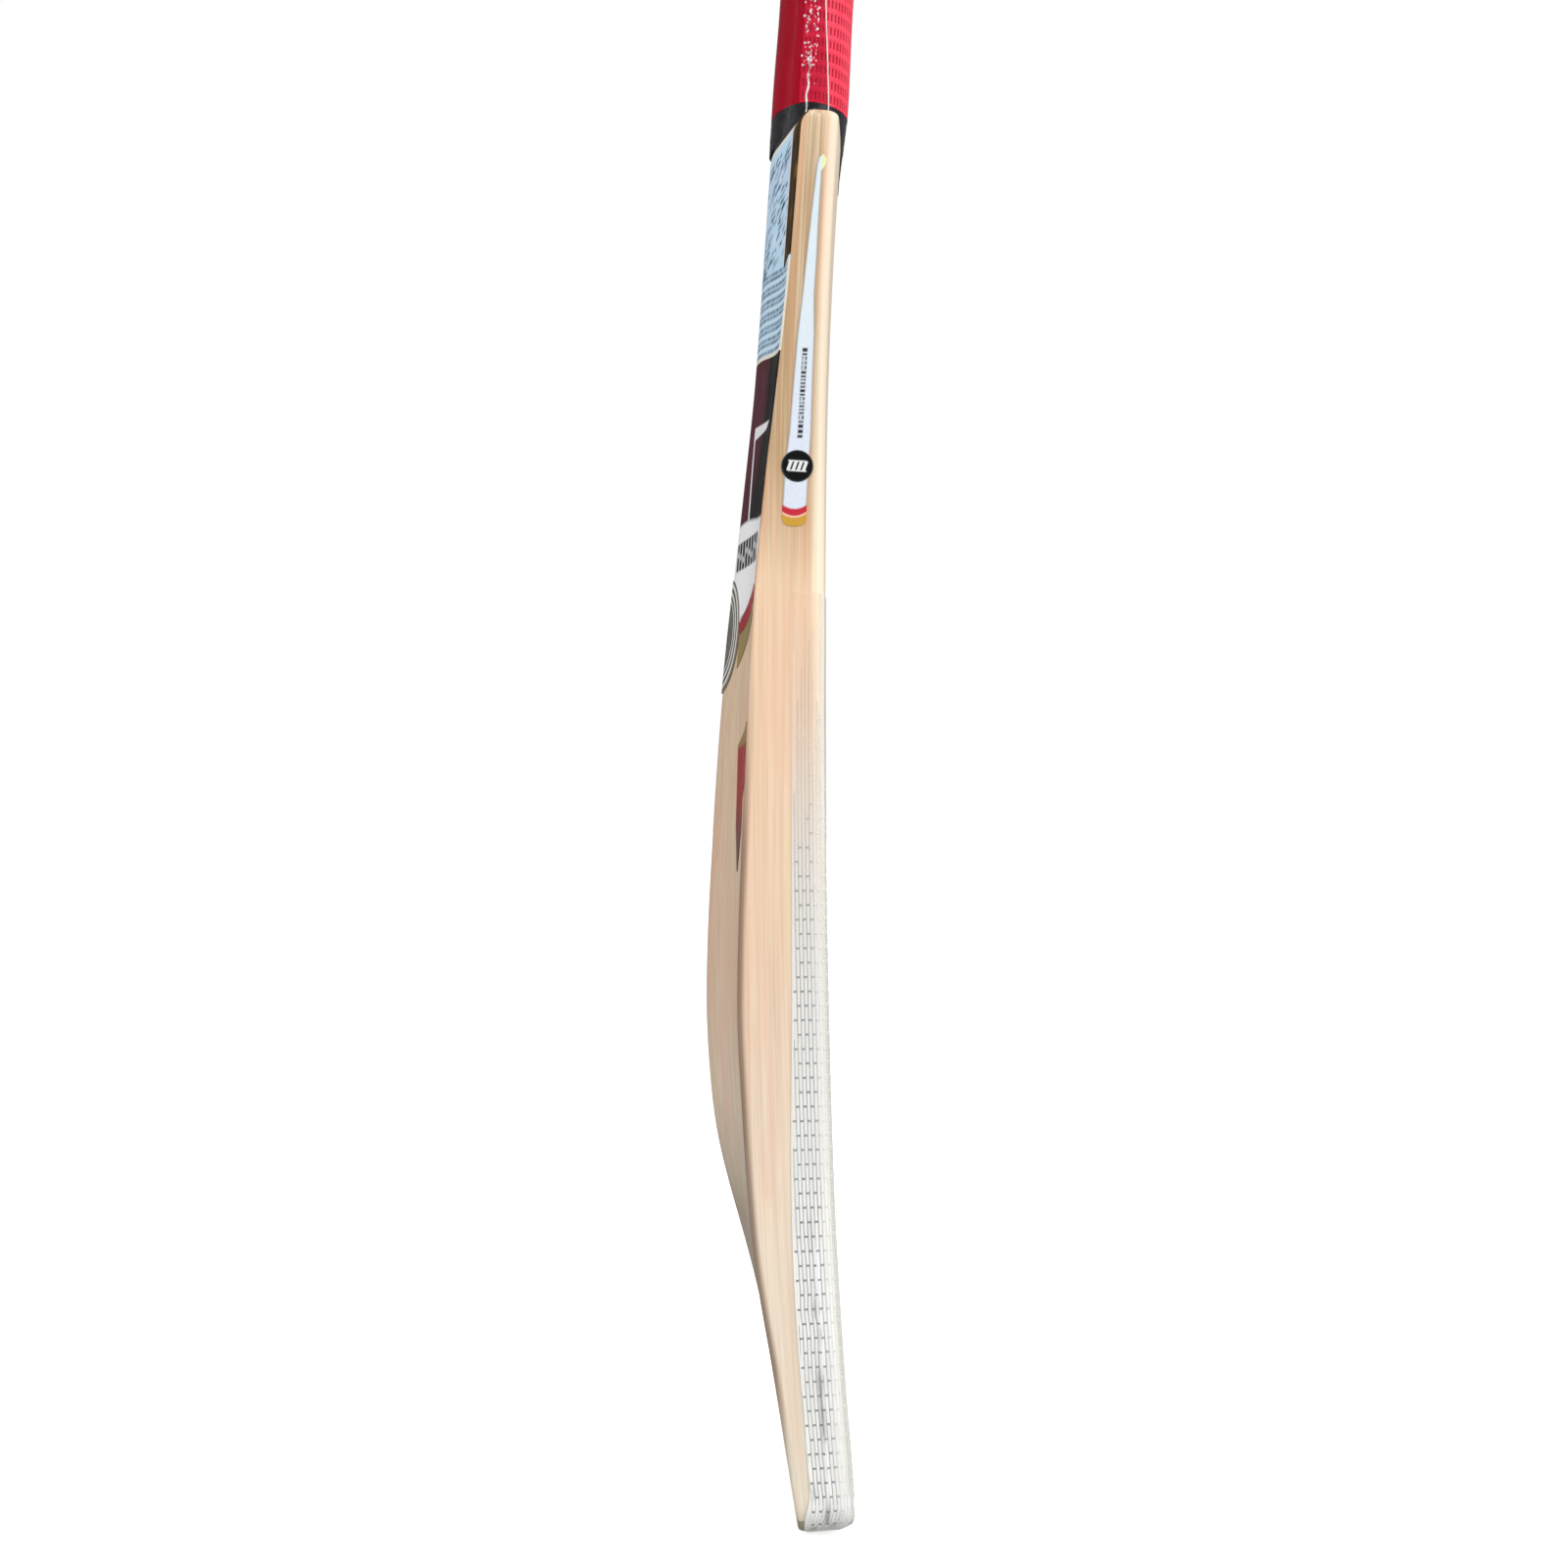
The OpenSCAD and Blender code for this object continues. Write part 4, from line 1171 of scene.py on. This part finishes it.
def make_shoulder_label(material):
    """Light blue label: cream border, dark gold strips along the ridges, and greeked lines of print."""
    k = np.linspace(0, 1, 230)[:, None] ** 1.25
    across = np.linspace(-1, 1, 241)[None, :]
    half = np.minimum(LABEL_HALF, reach(mix(0.5, 96.5, k)) - 0.3)
    x = half * across
    out = np.abs(x)
    first = mix(LABEL_TOP, 0.4, ease(out, 18, 40))
    rim = np.maximum(band_lap(out), first)
    s = mix(first, label_end(out), k)
    art = Print(s, x, "f3ecdc", soft=0.3)
    art.lay(art.inside(s - rim - 0.8), "7b7064")
    inset = 2.4 + 1.4 * ease(out, 20, 46)
    body = art.inside(rim + inset - s, s - label_end(out) + 1.6)
    art.lay(body, "c9e8fe")
    drift = ripple(s * 0.12, x * 0.16, 31, waves=7)
    art.lay(body * ease(drift, -0.2, 1.3), "cdd9f8", 0.6)
    draw = np.random.default_rng(41)
    for down in np.arange(9, 54, 2.6):
        for _ in range(22):
            at = draw.uniform(-46, 40)
            wide = draw.uniform(1.2, 7)
            tall = draw.uniform(0.6, 1.6)
            level = down + 0.35 * (x - at)
            ink = "24445f" if draw.uniform() < 0.75 else "eef6ff"
            art.lay(art.block(level, level + tall, at, at + wide) * body, ink, draw.uniform(0.4, 1.0))
    rise = 6.0 * ease(out, 4, 54)
    for line in np.arange(55, 88, 5.3):
        level = line + rise
        art.lay(art.block(level + 4.3, level + 4.85, -60, 60) * body, "eaf4fc", 0.85)
        for low in (0.4, 2.4):
            at = -52.0
            while at < 52:
                wide = draw.uniform(0.5, 2.6)
                mark = art.block(level + low, level + low + 1.4, at, at + wide)
                art.lay(mark * body, "1f384e", draw.uniform(0.5, 0.95))
                at += wide + 0.45
    strip = art.inside(LABEL_STRIP - out, rim + 1.2 - s, s - LABEL_STRIP_END + 0.35 * (out - 45))
    art.lay(strip, "382502")
    art.lay(strip * ease(ripple(s * 0.4, x * 0.9, 33, waves=6), 0.1, 1.2), "7a5a10", 0.8)
    border = art.inside(LABEL_STRIP - 1 - out, out - LABEL_STRIP, rim + 1.2 - s, s - LABEL_STRIP_END)
    art.lay(border, "f6f1e6")
    art.lay(art.inside(LABEL_HALF - 1 - out, LABEL_STRIP_END - 1 - s), "eee7d8")
    back_sticker(art, material, "label_blue", "shoulder_label")


def make_main_sticker(material):
    """Black panels with a maroon middle and a silver outline, over a silver-grey lower part."""
    k = np.linspace(0, 1, 240)[:, None]
    side = np.linspace(-1, 1, 261)[None, :]
    half = smooth(k, [[0, 53.4], [0.35, 53.2], [0.55, 51.8], [0.64, 50.0], [0.75, 50.2], [1, 49.8]])
    x = half * side
    out = np.abs(x)
    bottom = np.where(out > 24.5, mix(199.5, 186.4, (out - 24.5) / 27), 199.5)
    s = mix(label_end(out) + 0.15, bottom, k)
    art = Print(s, x, "0f0d0c", soft=0.35)
    maroon = ease(31 - out + 6 * ripple(s * 0.05, x * 0.05, 51), -6, 9) * (1 - ease(s, 128, 156))
    art.lay(maroon, MAROON, 0.9)
    art.lay(ease(ripple(s * 0.16, x * 0.1, 52, waves=6), 0.3, 1.7), "3d3a36", 0.25)
    lean = (s - HOOK_TOP - 1) / 34
    inner = mix(17.0, 21.0, lean)
    outer = mix(19.2, 23.4, lean)
    art.lay(art.inside(out - inner, HOOK_TOP - s), MAROON, 0.9)
    art.lay(art.inside(inner - out, out - outer, HOOK_TOP - s), SILVER)
    upper = mix(HOOK_TOP - 2, HOOK_TOP + 1, (out - 16) / 30)
    tip = out + (s - HOOK_TOP - 1) * 2 - 46.5
    art.lay(art.inside(17 - out, out - 46.5, upper - s, s - HOOK_TOP - 3.6, tip), SILVER)
    foot = 157.5 + 2.7 * ease(out, 18, 50)
    art.lay(art.inside(foot - s), SILVER_FIELD)
    art.lay(art.inside(foot - s, s - foot - 0.7), "8d8a8a", 0.6)
    for n in range(8):
        notch_top = 169 + (n % 3) * 1.6
        for side_sign in (-1, 1):
            slant = np.abs(x - side_sign * (9 + n * 5.2) + 0.22 * (s - 170))
            art.lay(art.inside(slant - 2.0, 165.5 - s, s - 177.5), "0d0c0c")
            art.lay(art.inside(slant - 0.8, notch_top - s, s - notch_top - 2.4), SILVER_FIELD)
    art.lay(art.inside(np.abs(s - bottom) - 0.5), "d9d7d5", 0.6)
    back_sticker(art, material, "panel_black", "main_sticker")


def make_ring_emblem(material):
    """A round emblem of plain rings over the spine."""
    ring = np.linspace(0, 1, 60)[:, None]
    angle = np.linspace(0, math.tau, 181)[None, :]
    radius = EMBLEM_RADIUS * ring
    s = EMBLEM_MIDDLE + radius * np.sin(angle)
    x = -radius * np.cos(angle)
    art = Print(s, x, "b4afa6")
    distance = np.broadcast_to(radius, s.shape)
    for at, width, ink in [
        (23.2, 0.8, "2a2522"), (21.6, 1.2, "f2ece1"), (19.9, 1.2, "1c1817"),
        (18.2, 1.2, "f2ece1"), (16.6, 1.1, "1c1817"), (15.2, 0.9, "e9e3d8"),
    ]:
        art.lay(art.ring(distance, at, width), ink)
    art.lay(art.inside(distance - 14.4), "0b090a")
    for at in (12.4, 10.0, 7.6):
        art.lay(art.ring(distance, at, 0.9), "b9b3ab", 0.85)
    work = Patchwork("grain", "paint")
    grid, grain = on_back(s, x)
    facing = surface_normals(s, x)
    low = grid + (SKIN_GAP + SKIN + 0.02) * facing
    high = low + SKIN * facing
    rim = np.stack([high[-1], low[-1]], 0)
    work.add(high, grain=grain, paint=art.colour)
    work.add(low, grain=grain, paint=art.colour)
    work.add(rim, grain=np.stack([grain[-1]] * 2, 0), paint=np.stack([art.colour[-1]] * 2, 0))
    work.build("ring_emblem_print", [material], "emblem", "ring_emblem")


def surface_normals(s, x, step=0.4):
    """Outward normals of the back, from points a small step either way."""
    down = on_back(s + step, x)[0] - on_back(s - step, x)[0]
    along = on_back(s, x + step)[0] - on_back(s, x - step)[0]
    normal = np.cross(along, down)
    return normal / np.linalg.norm(normal, axis=-1, keepdims=True)


def make_swoosh(side, node, start, drop, ink, edge_ink, material, slot):
    """A slanted band on one flank, from the ridge down to the emblem."""
    out = np.linspace(0, 1, 61)[None, :]
    k = np.linspace(0, 1, 25)[:, None]
    s = mix(*start, k) + mix(*drop, k) * (1 - out) + 1.4 * np.sin(out * math.pi)
    art = Print(s, side * mix(24.5, 51.5, out), ink)
    art.lay(ease(ripple(s * 0.3, art.across * 0.2, 61, waves=6), 0.0, 1.4), edge_ink, 0.5)
    art.lay(1 - ease(np.broadcast_to(k, s.shape), 0.02, 0.12), edge_ink, 0.7)
    back_sticker(art, material, slot, node, side)


def make_flank_swoosh(side, node, material):
    """The patch inside the ridge: gold at its upper tip, then red that darkens downward."""
    k = np.linspace(0, 1, 150)[:, None]
    s = mix(241, 300, k)
    inner = np.interp(k, [0, 0.15, 0.4, 0.7, 1], [51.3, 33.5, 34.5, 36, 41])
    outer = np.interp(k, [0, 0.42, 0.5, 0.7, 1], [51.7, 51.5, 46.5, 47, 42])
    across = mix(inner, outer, np.linspace(0, 1, 31)[None, :])
    art = Print(s, side * across, "a8302f")
    art.lay(ease(s, 268, 290), "6a3230")
    art.lay(1 - ease(s + (across - 33) * 0.12, 250.5, 252), "9c8350")
    art.lay(1 - ease(across - inner, 0.2, 1.2), "c7b391", 0.7)
    back_sticker(art, material, "foil_maroon", node, side)


def edge_point(side, down, depth):
    """A point on an edge, DEPTH behind the face's corner."""
    return place(down, side * HALF_WIDTH, face_u(down, HALF_WIDTH) + depth)


def make_edge_sticker(side, node, material):
    """The long sticker on an edge: pale silver, pointed at the top, with red and gold arcs below."""
    cap = EDGE_END + EDGE_CAP * np.sin(turns(3, 90, 30))
    down = np.concatenate([np.linspace(EDGE_START, EDGE_END, 340), cap])[:, None]
    front = np.interp(down, [EDGE_START, 21, 23, 25.5, 42, 59, 75, 90, 128, 160],
                      [4.6, 3.3, 3.5, 4.9, 5.1, 5.1, 5.5, 4.9, 5.3, 7.0])
    back = np.interp(down, [EDGE_START, 20.5, 24, 32, 42, 59, 75, 90, 128, 140, 160],
                     [5.4, 6.6, 7.2, 7.7, 8.3, 9.4, 10.4, 11.7, 14.0, 15.4, 16.6])
    shut = np.cbrt(np.maximum(1 - (np.maximum(down - EDGE_END, 0) / EDGE_CAP) ** 3, 0.0004))
    middle = (front + back) / 2
    half = (back - front) / 2 * shut
    depth = middle + half * np.linspace(-1, 1, 37)[None, :]
    art = Print(down, depth, EDGE_INK, soft=0.25)
    down = art.down
    art.lay(ease(down, 70, 130), "d3d9e6", 0.8)
    rim = half - np.abs(depth - middle)
    art.lay(1 - ease(rim, 0.2, 0.75), "9d9389", 0.8)
    art.lay(art.inside(down - 25.5, depth - 5.3), "dfe5ae")
    bend = (depth - middle) ** 2 * 0.07
    for at, ink in ((158.2, "be122c"), (161.0, "f0c9b8"), (161.6, "c39428")):
        art.lay(art.inside(at - bend - down), ink)
    draw = np.random.default_rng(71)
    at = 95.5
    while at < 131:
        long = draw.choice([0.8, 1.2, 1.5])
        art.lay(art.block(at, at + long, middle - 1.0, middle + 1.0), "15191e")
        if draw.uniform() < 0.5:
            art.lay(art.block(at + 0.25, at + long - 0.25, middle - 0.3, middle + 0.6), EDGE_INK, 0.9)
        at += long + 0.55
    grid = edge_point(side, down, depth)
    grain = np.stack(np.broadcast_arrays(side * HALF_WIDTH, depth, down), -1) * MM
    grid, grain, colour = [part[:, ::-side] for part in (grid, grain, art.colour)]
    work = Patchwork("grain", "paint")
    work.shell(grid, SKIN_GAP, SKIN - SKIN_GAP, grain=grain, paint=colour)
    work.build(node + "_print", [material], "edge_silver", node)


def make_edge_badge(side, node, material):
    """The round black badge: a slightly domed disc with a thin ring and four plain slanted bars."""
    flat = BADGE_RADIUS - BADGE_ROUND
    bend = turns(15, 90, 6)
    radius = np.concatenate([np.linspace(0, flat, 34), flat + BADGE_ROUND * np.sin(bend)])[:, None]
    height = np.concatenate([np.full(34, SKIN), SKIN * np.cos(bend)])[:, None]
    angle = np.linspace(0, math.tau, 97)[None, :]
    down = radius * np.sin(angle)
    depth = radius * np.cos(angle)
    art = Print(down, depth, "030505", soft=0.2)
    art.lay(art.ring(np.hypot(down, depth), BADGE_RADIUS - 0.25, 0.3), "3d4141")
    for n in (-1.5, -0.5, 0.5, 1.5):
        middle = n * 2.0 - 0.3 * side * down
        art.lay(art.block(-1.9, 1.9, middle - 0.62, middle + 0.62), BADGE_INK)
    for level in (-1.9, 1.9):
        art.lay(art.block(level - 0.3, level + 0.3, -3.6, 3.6), BADGE_INK, 0.8)
    middle = edge_point(side, np.float64(BADGE_DOWN), np.float64(BADGE_DEPTH))
    foot = middle[0] + side * (SKIN + 0.02)
    grid = np.stack(np.broadcast_arrays(foot + side * height, middle[1] + depth, middle[2] - down), -1)
    base = grid.copy()
    base[..., 0] = foot
    work = Patchwork("grain", "paint")
    for part in (grid, base):
        work.add(part, grain=grid * MM, paint=art.colour)
    work.build(node + "_print", [material], "badge_black", node)


# ---- Putting the bat together ----

def dress_inner_nodes():
    """The cane, the rubber inserts and the twine stay as CAD made them, and get their materials."""
    tones = {"left": "d9b47c", "middle": "cda468", "right": "dfbd88"}
    canes = {column: cane("cane_" + column, tone) for column, tone in tones.items()}
    rubber, twine = matte_rubber(), wound_twine()
    for name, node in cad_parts.items():
        if name.startswith("cane_"):
            dress(node, canes[name.split("_")[-1]])
        elif name.startswith("rubber_insert"):
            dress(node, rubber)
        elif name == "twine_binding":
            dress(node, twine)


def dress(node, material):
    node.data.materials.clear()
    node.data.materials.append(material)


def make_bat():
    dress_inner_nodes()
    make_blade(willow())
    make_grip(grip_rubber())
    make_neck_band(neck_plastic())
    make_film(clear_film())
    white = tape_thread("tape_thread", "fdf9f2", 0.06, 0.92, by_face=0.5)
    grey = tape_thread("tape_gap_line", "85888a", 0.03, 0.62, corner=0.95)
    tie = tape_tie("tape_tie")
    make_tape(tape_film(), white, grey, tie)
    make_shoulder_label(printed("label_print", specular=0.05))
    make_main_sticker(printed("panel_print", specular=0.07))
    make_ring_emblem(printed("emblem_print"))
    red = printed("red_print", 0.3)
    gold = printed("gold_print", 0.36, 0.3)
    patch = printed("patch_print", 0.3)
    silver = printed("edge_print", 0.22)
    badge = printed("badge_print", 0.2, specular=0.1)
    for side, word in ((-1, "left"), (1, "right")):
        make_swoosh(side, "red_swoosh_" + word, (187.2, 194.0), (10.5, 10.5),
                    "b01f2c", "8a2430", red, "foil_red")
        make_swoosh(side, "gold_swoosh_" + word, (194.5, 198.5), (10.5, 20.0),
                    "a18a52", "7f6c3e", gold, "foil_gold")
        make_flank_swoosh(side, "flank_swoosh_" + word, patch)
        make_edge_sticker(side, "edge_sticker_" + word, silver)
        make_edge_badge(side, "edge_badge_" + word, badge)


# ---- Camera, light and floor ----

def make_camera():
    """Level with the middle of the blade, looking square at its left edge."""
    yaw, pitch, roll = -0.0054, 0.0023, 0.0626
    ahead = Vector((math.cos(pitch) * math.cos(yaw), math.cos(pitch) * math.sin(yaw), math.sin(pitch)))
    right = Vector((math.sin(yaw), -math.cos(yaw), 0))
    up = right.cross(ahead)
    tilted_right = math.cos(roll) * right + math.sin(roll) * up
    tilted_up = -math.sin(roll) * right + math.cos(roll) * up
    data = bpy.data.cameras.new("camera")
    data.sensor_width = 36
    data.lens = 36.7
    data.clip_start, data.clip_end = 0.01, 50
    camera = bpy.data.objects.new("camera", data)
    bpy.context.scene.collection.objects.link(camera)
    turn = Matrix((tilted_right, tilted_up, -ahead)).transposed()
    camera.matrix_world = Matrix.Translation((-0.6795, -0.0032, -0.4211)) @ turn.to_4x4()
    bpy.context.scene.camera = camera


def area_light(name, at, target, size, power):
    data = bpy.data.lights.new(name, "AREA")
    data.shape = "RECTANGLE"
    data.size, data.size_y = size
    data.energy = power
    lamp = bpy.data.objects.new(name, data)
    bpy.context.scene.collection.objects.link(lamp)
    lamp.location = at
    lamp.rotation_mode = "QUATERNION"
    lamp.rotation_quaternion = (Vector(target) - Vector(at)).to_track_quat("-Z", "Y")


def make_studio():
    """A pale studio, lit mostly from the bat's left and its face, with a plain pale floor."""
    world = bpy.data.worlds.new("studio")
    world.use_nodes = True
    bpy.context.scene.world = world
    tree = world.node_tree
    ground = tree.nodes["Background"]
    heading = tree.nodes.new("ShaderNodeTexCoord")
    facing = tree.nodes.new("ShaderNodeVectorMath")
    facing.operation = "DOT_PRODUCT"
    facing.inputs[1].default_value = (-0.93, -0.1, 0.35)
    tree.links.new(heading.outputs["Generated"], facing.inputs[0])
    level = tree.nodes.new("ShaderNodeMapRange")
    level.inputs["From Min"].default_value = -1
    level.interpolation_type = "SMOOTHSTEP"
    level.inputs["To Min"].default_value = 0.14
    level.inputs["To Max"].default_value = 1.25
    tree.links.new(facing.outputs["Value"], level.inputs["Value"])
    tree.links.new(level.outputs["Result"], ground.inputs["Strength"])
    ground.inputs["Color"].default_value = (0.97, 0.985, 1, 1)
    seen = tree.nodes.new("ShaderNodeBackground")
    seen.inputs["Color"].default_value = (1, 1, 1, 1)
    path = tree.nodes.new("ShaderNodeLightPath")
    choose = tree.nodes.new("ShaderNodeMixShader")
    tree.links.new(path.outputs["Is Camera Ray"], choose.inputs[0])
    tree.links.new(ground.outputs[0], choose.inputs[1])
    tree.links.new(seen.outputs[0], choose.inputs[2])
    tree.links.new(choose.outputs[0], tree.nodes["World Output"].inputs["Surface"])
    area_light("key", (-1.2, -1.3, 0.6), (0, 0, -0.35), (1.2, 1.6), 22)
    area_light("fill", (-0.45, 0.85, 0.1), (0, 0, -0.25), (0.6, 0.6), 2.6)
    toe = cad_box[0].z
    bpy.ops.mesh.primitive_circle_add(vertices=96, radius=9, fill_type="NGON", location=(0, 0, toe - 0.0008))
    floor = bpy.context.object
    floor.name = "floor"
    m = Nodes("floor", roughness=0.7, specular=0.1)
    dust = m.noise(m.own_place(), (6, 6, 6), 3.0)
    direct = m.node("ShaderNodeLightPath").outputs["Is Camera Ray"]
    m.to("Base Color", m.blend(direct, "9a9a98", m.ramp(dust, [(0.3, "f2f2f0"), (0.8, "f7f7f5")])))
    m.to("Emission Color", (1, 1, 1, 1))
    m.to("Emission Strength", m.times(direct, 0.62))
    floor.data.materials.append(m.material)
    bpy.context.scene.view_settings.view_transform = "Standard"


make_camera()
make_bat()
make_studio()
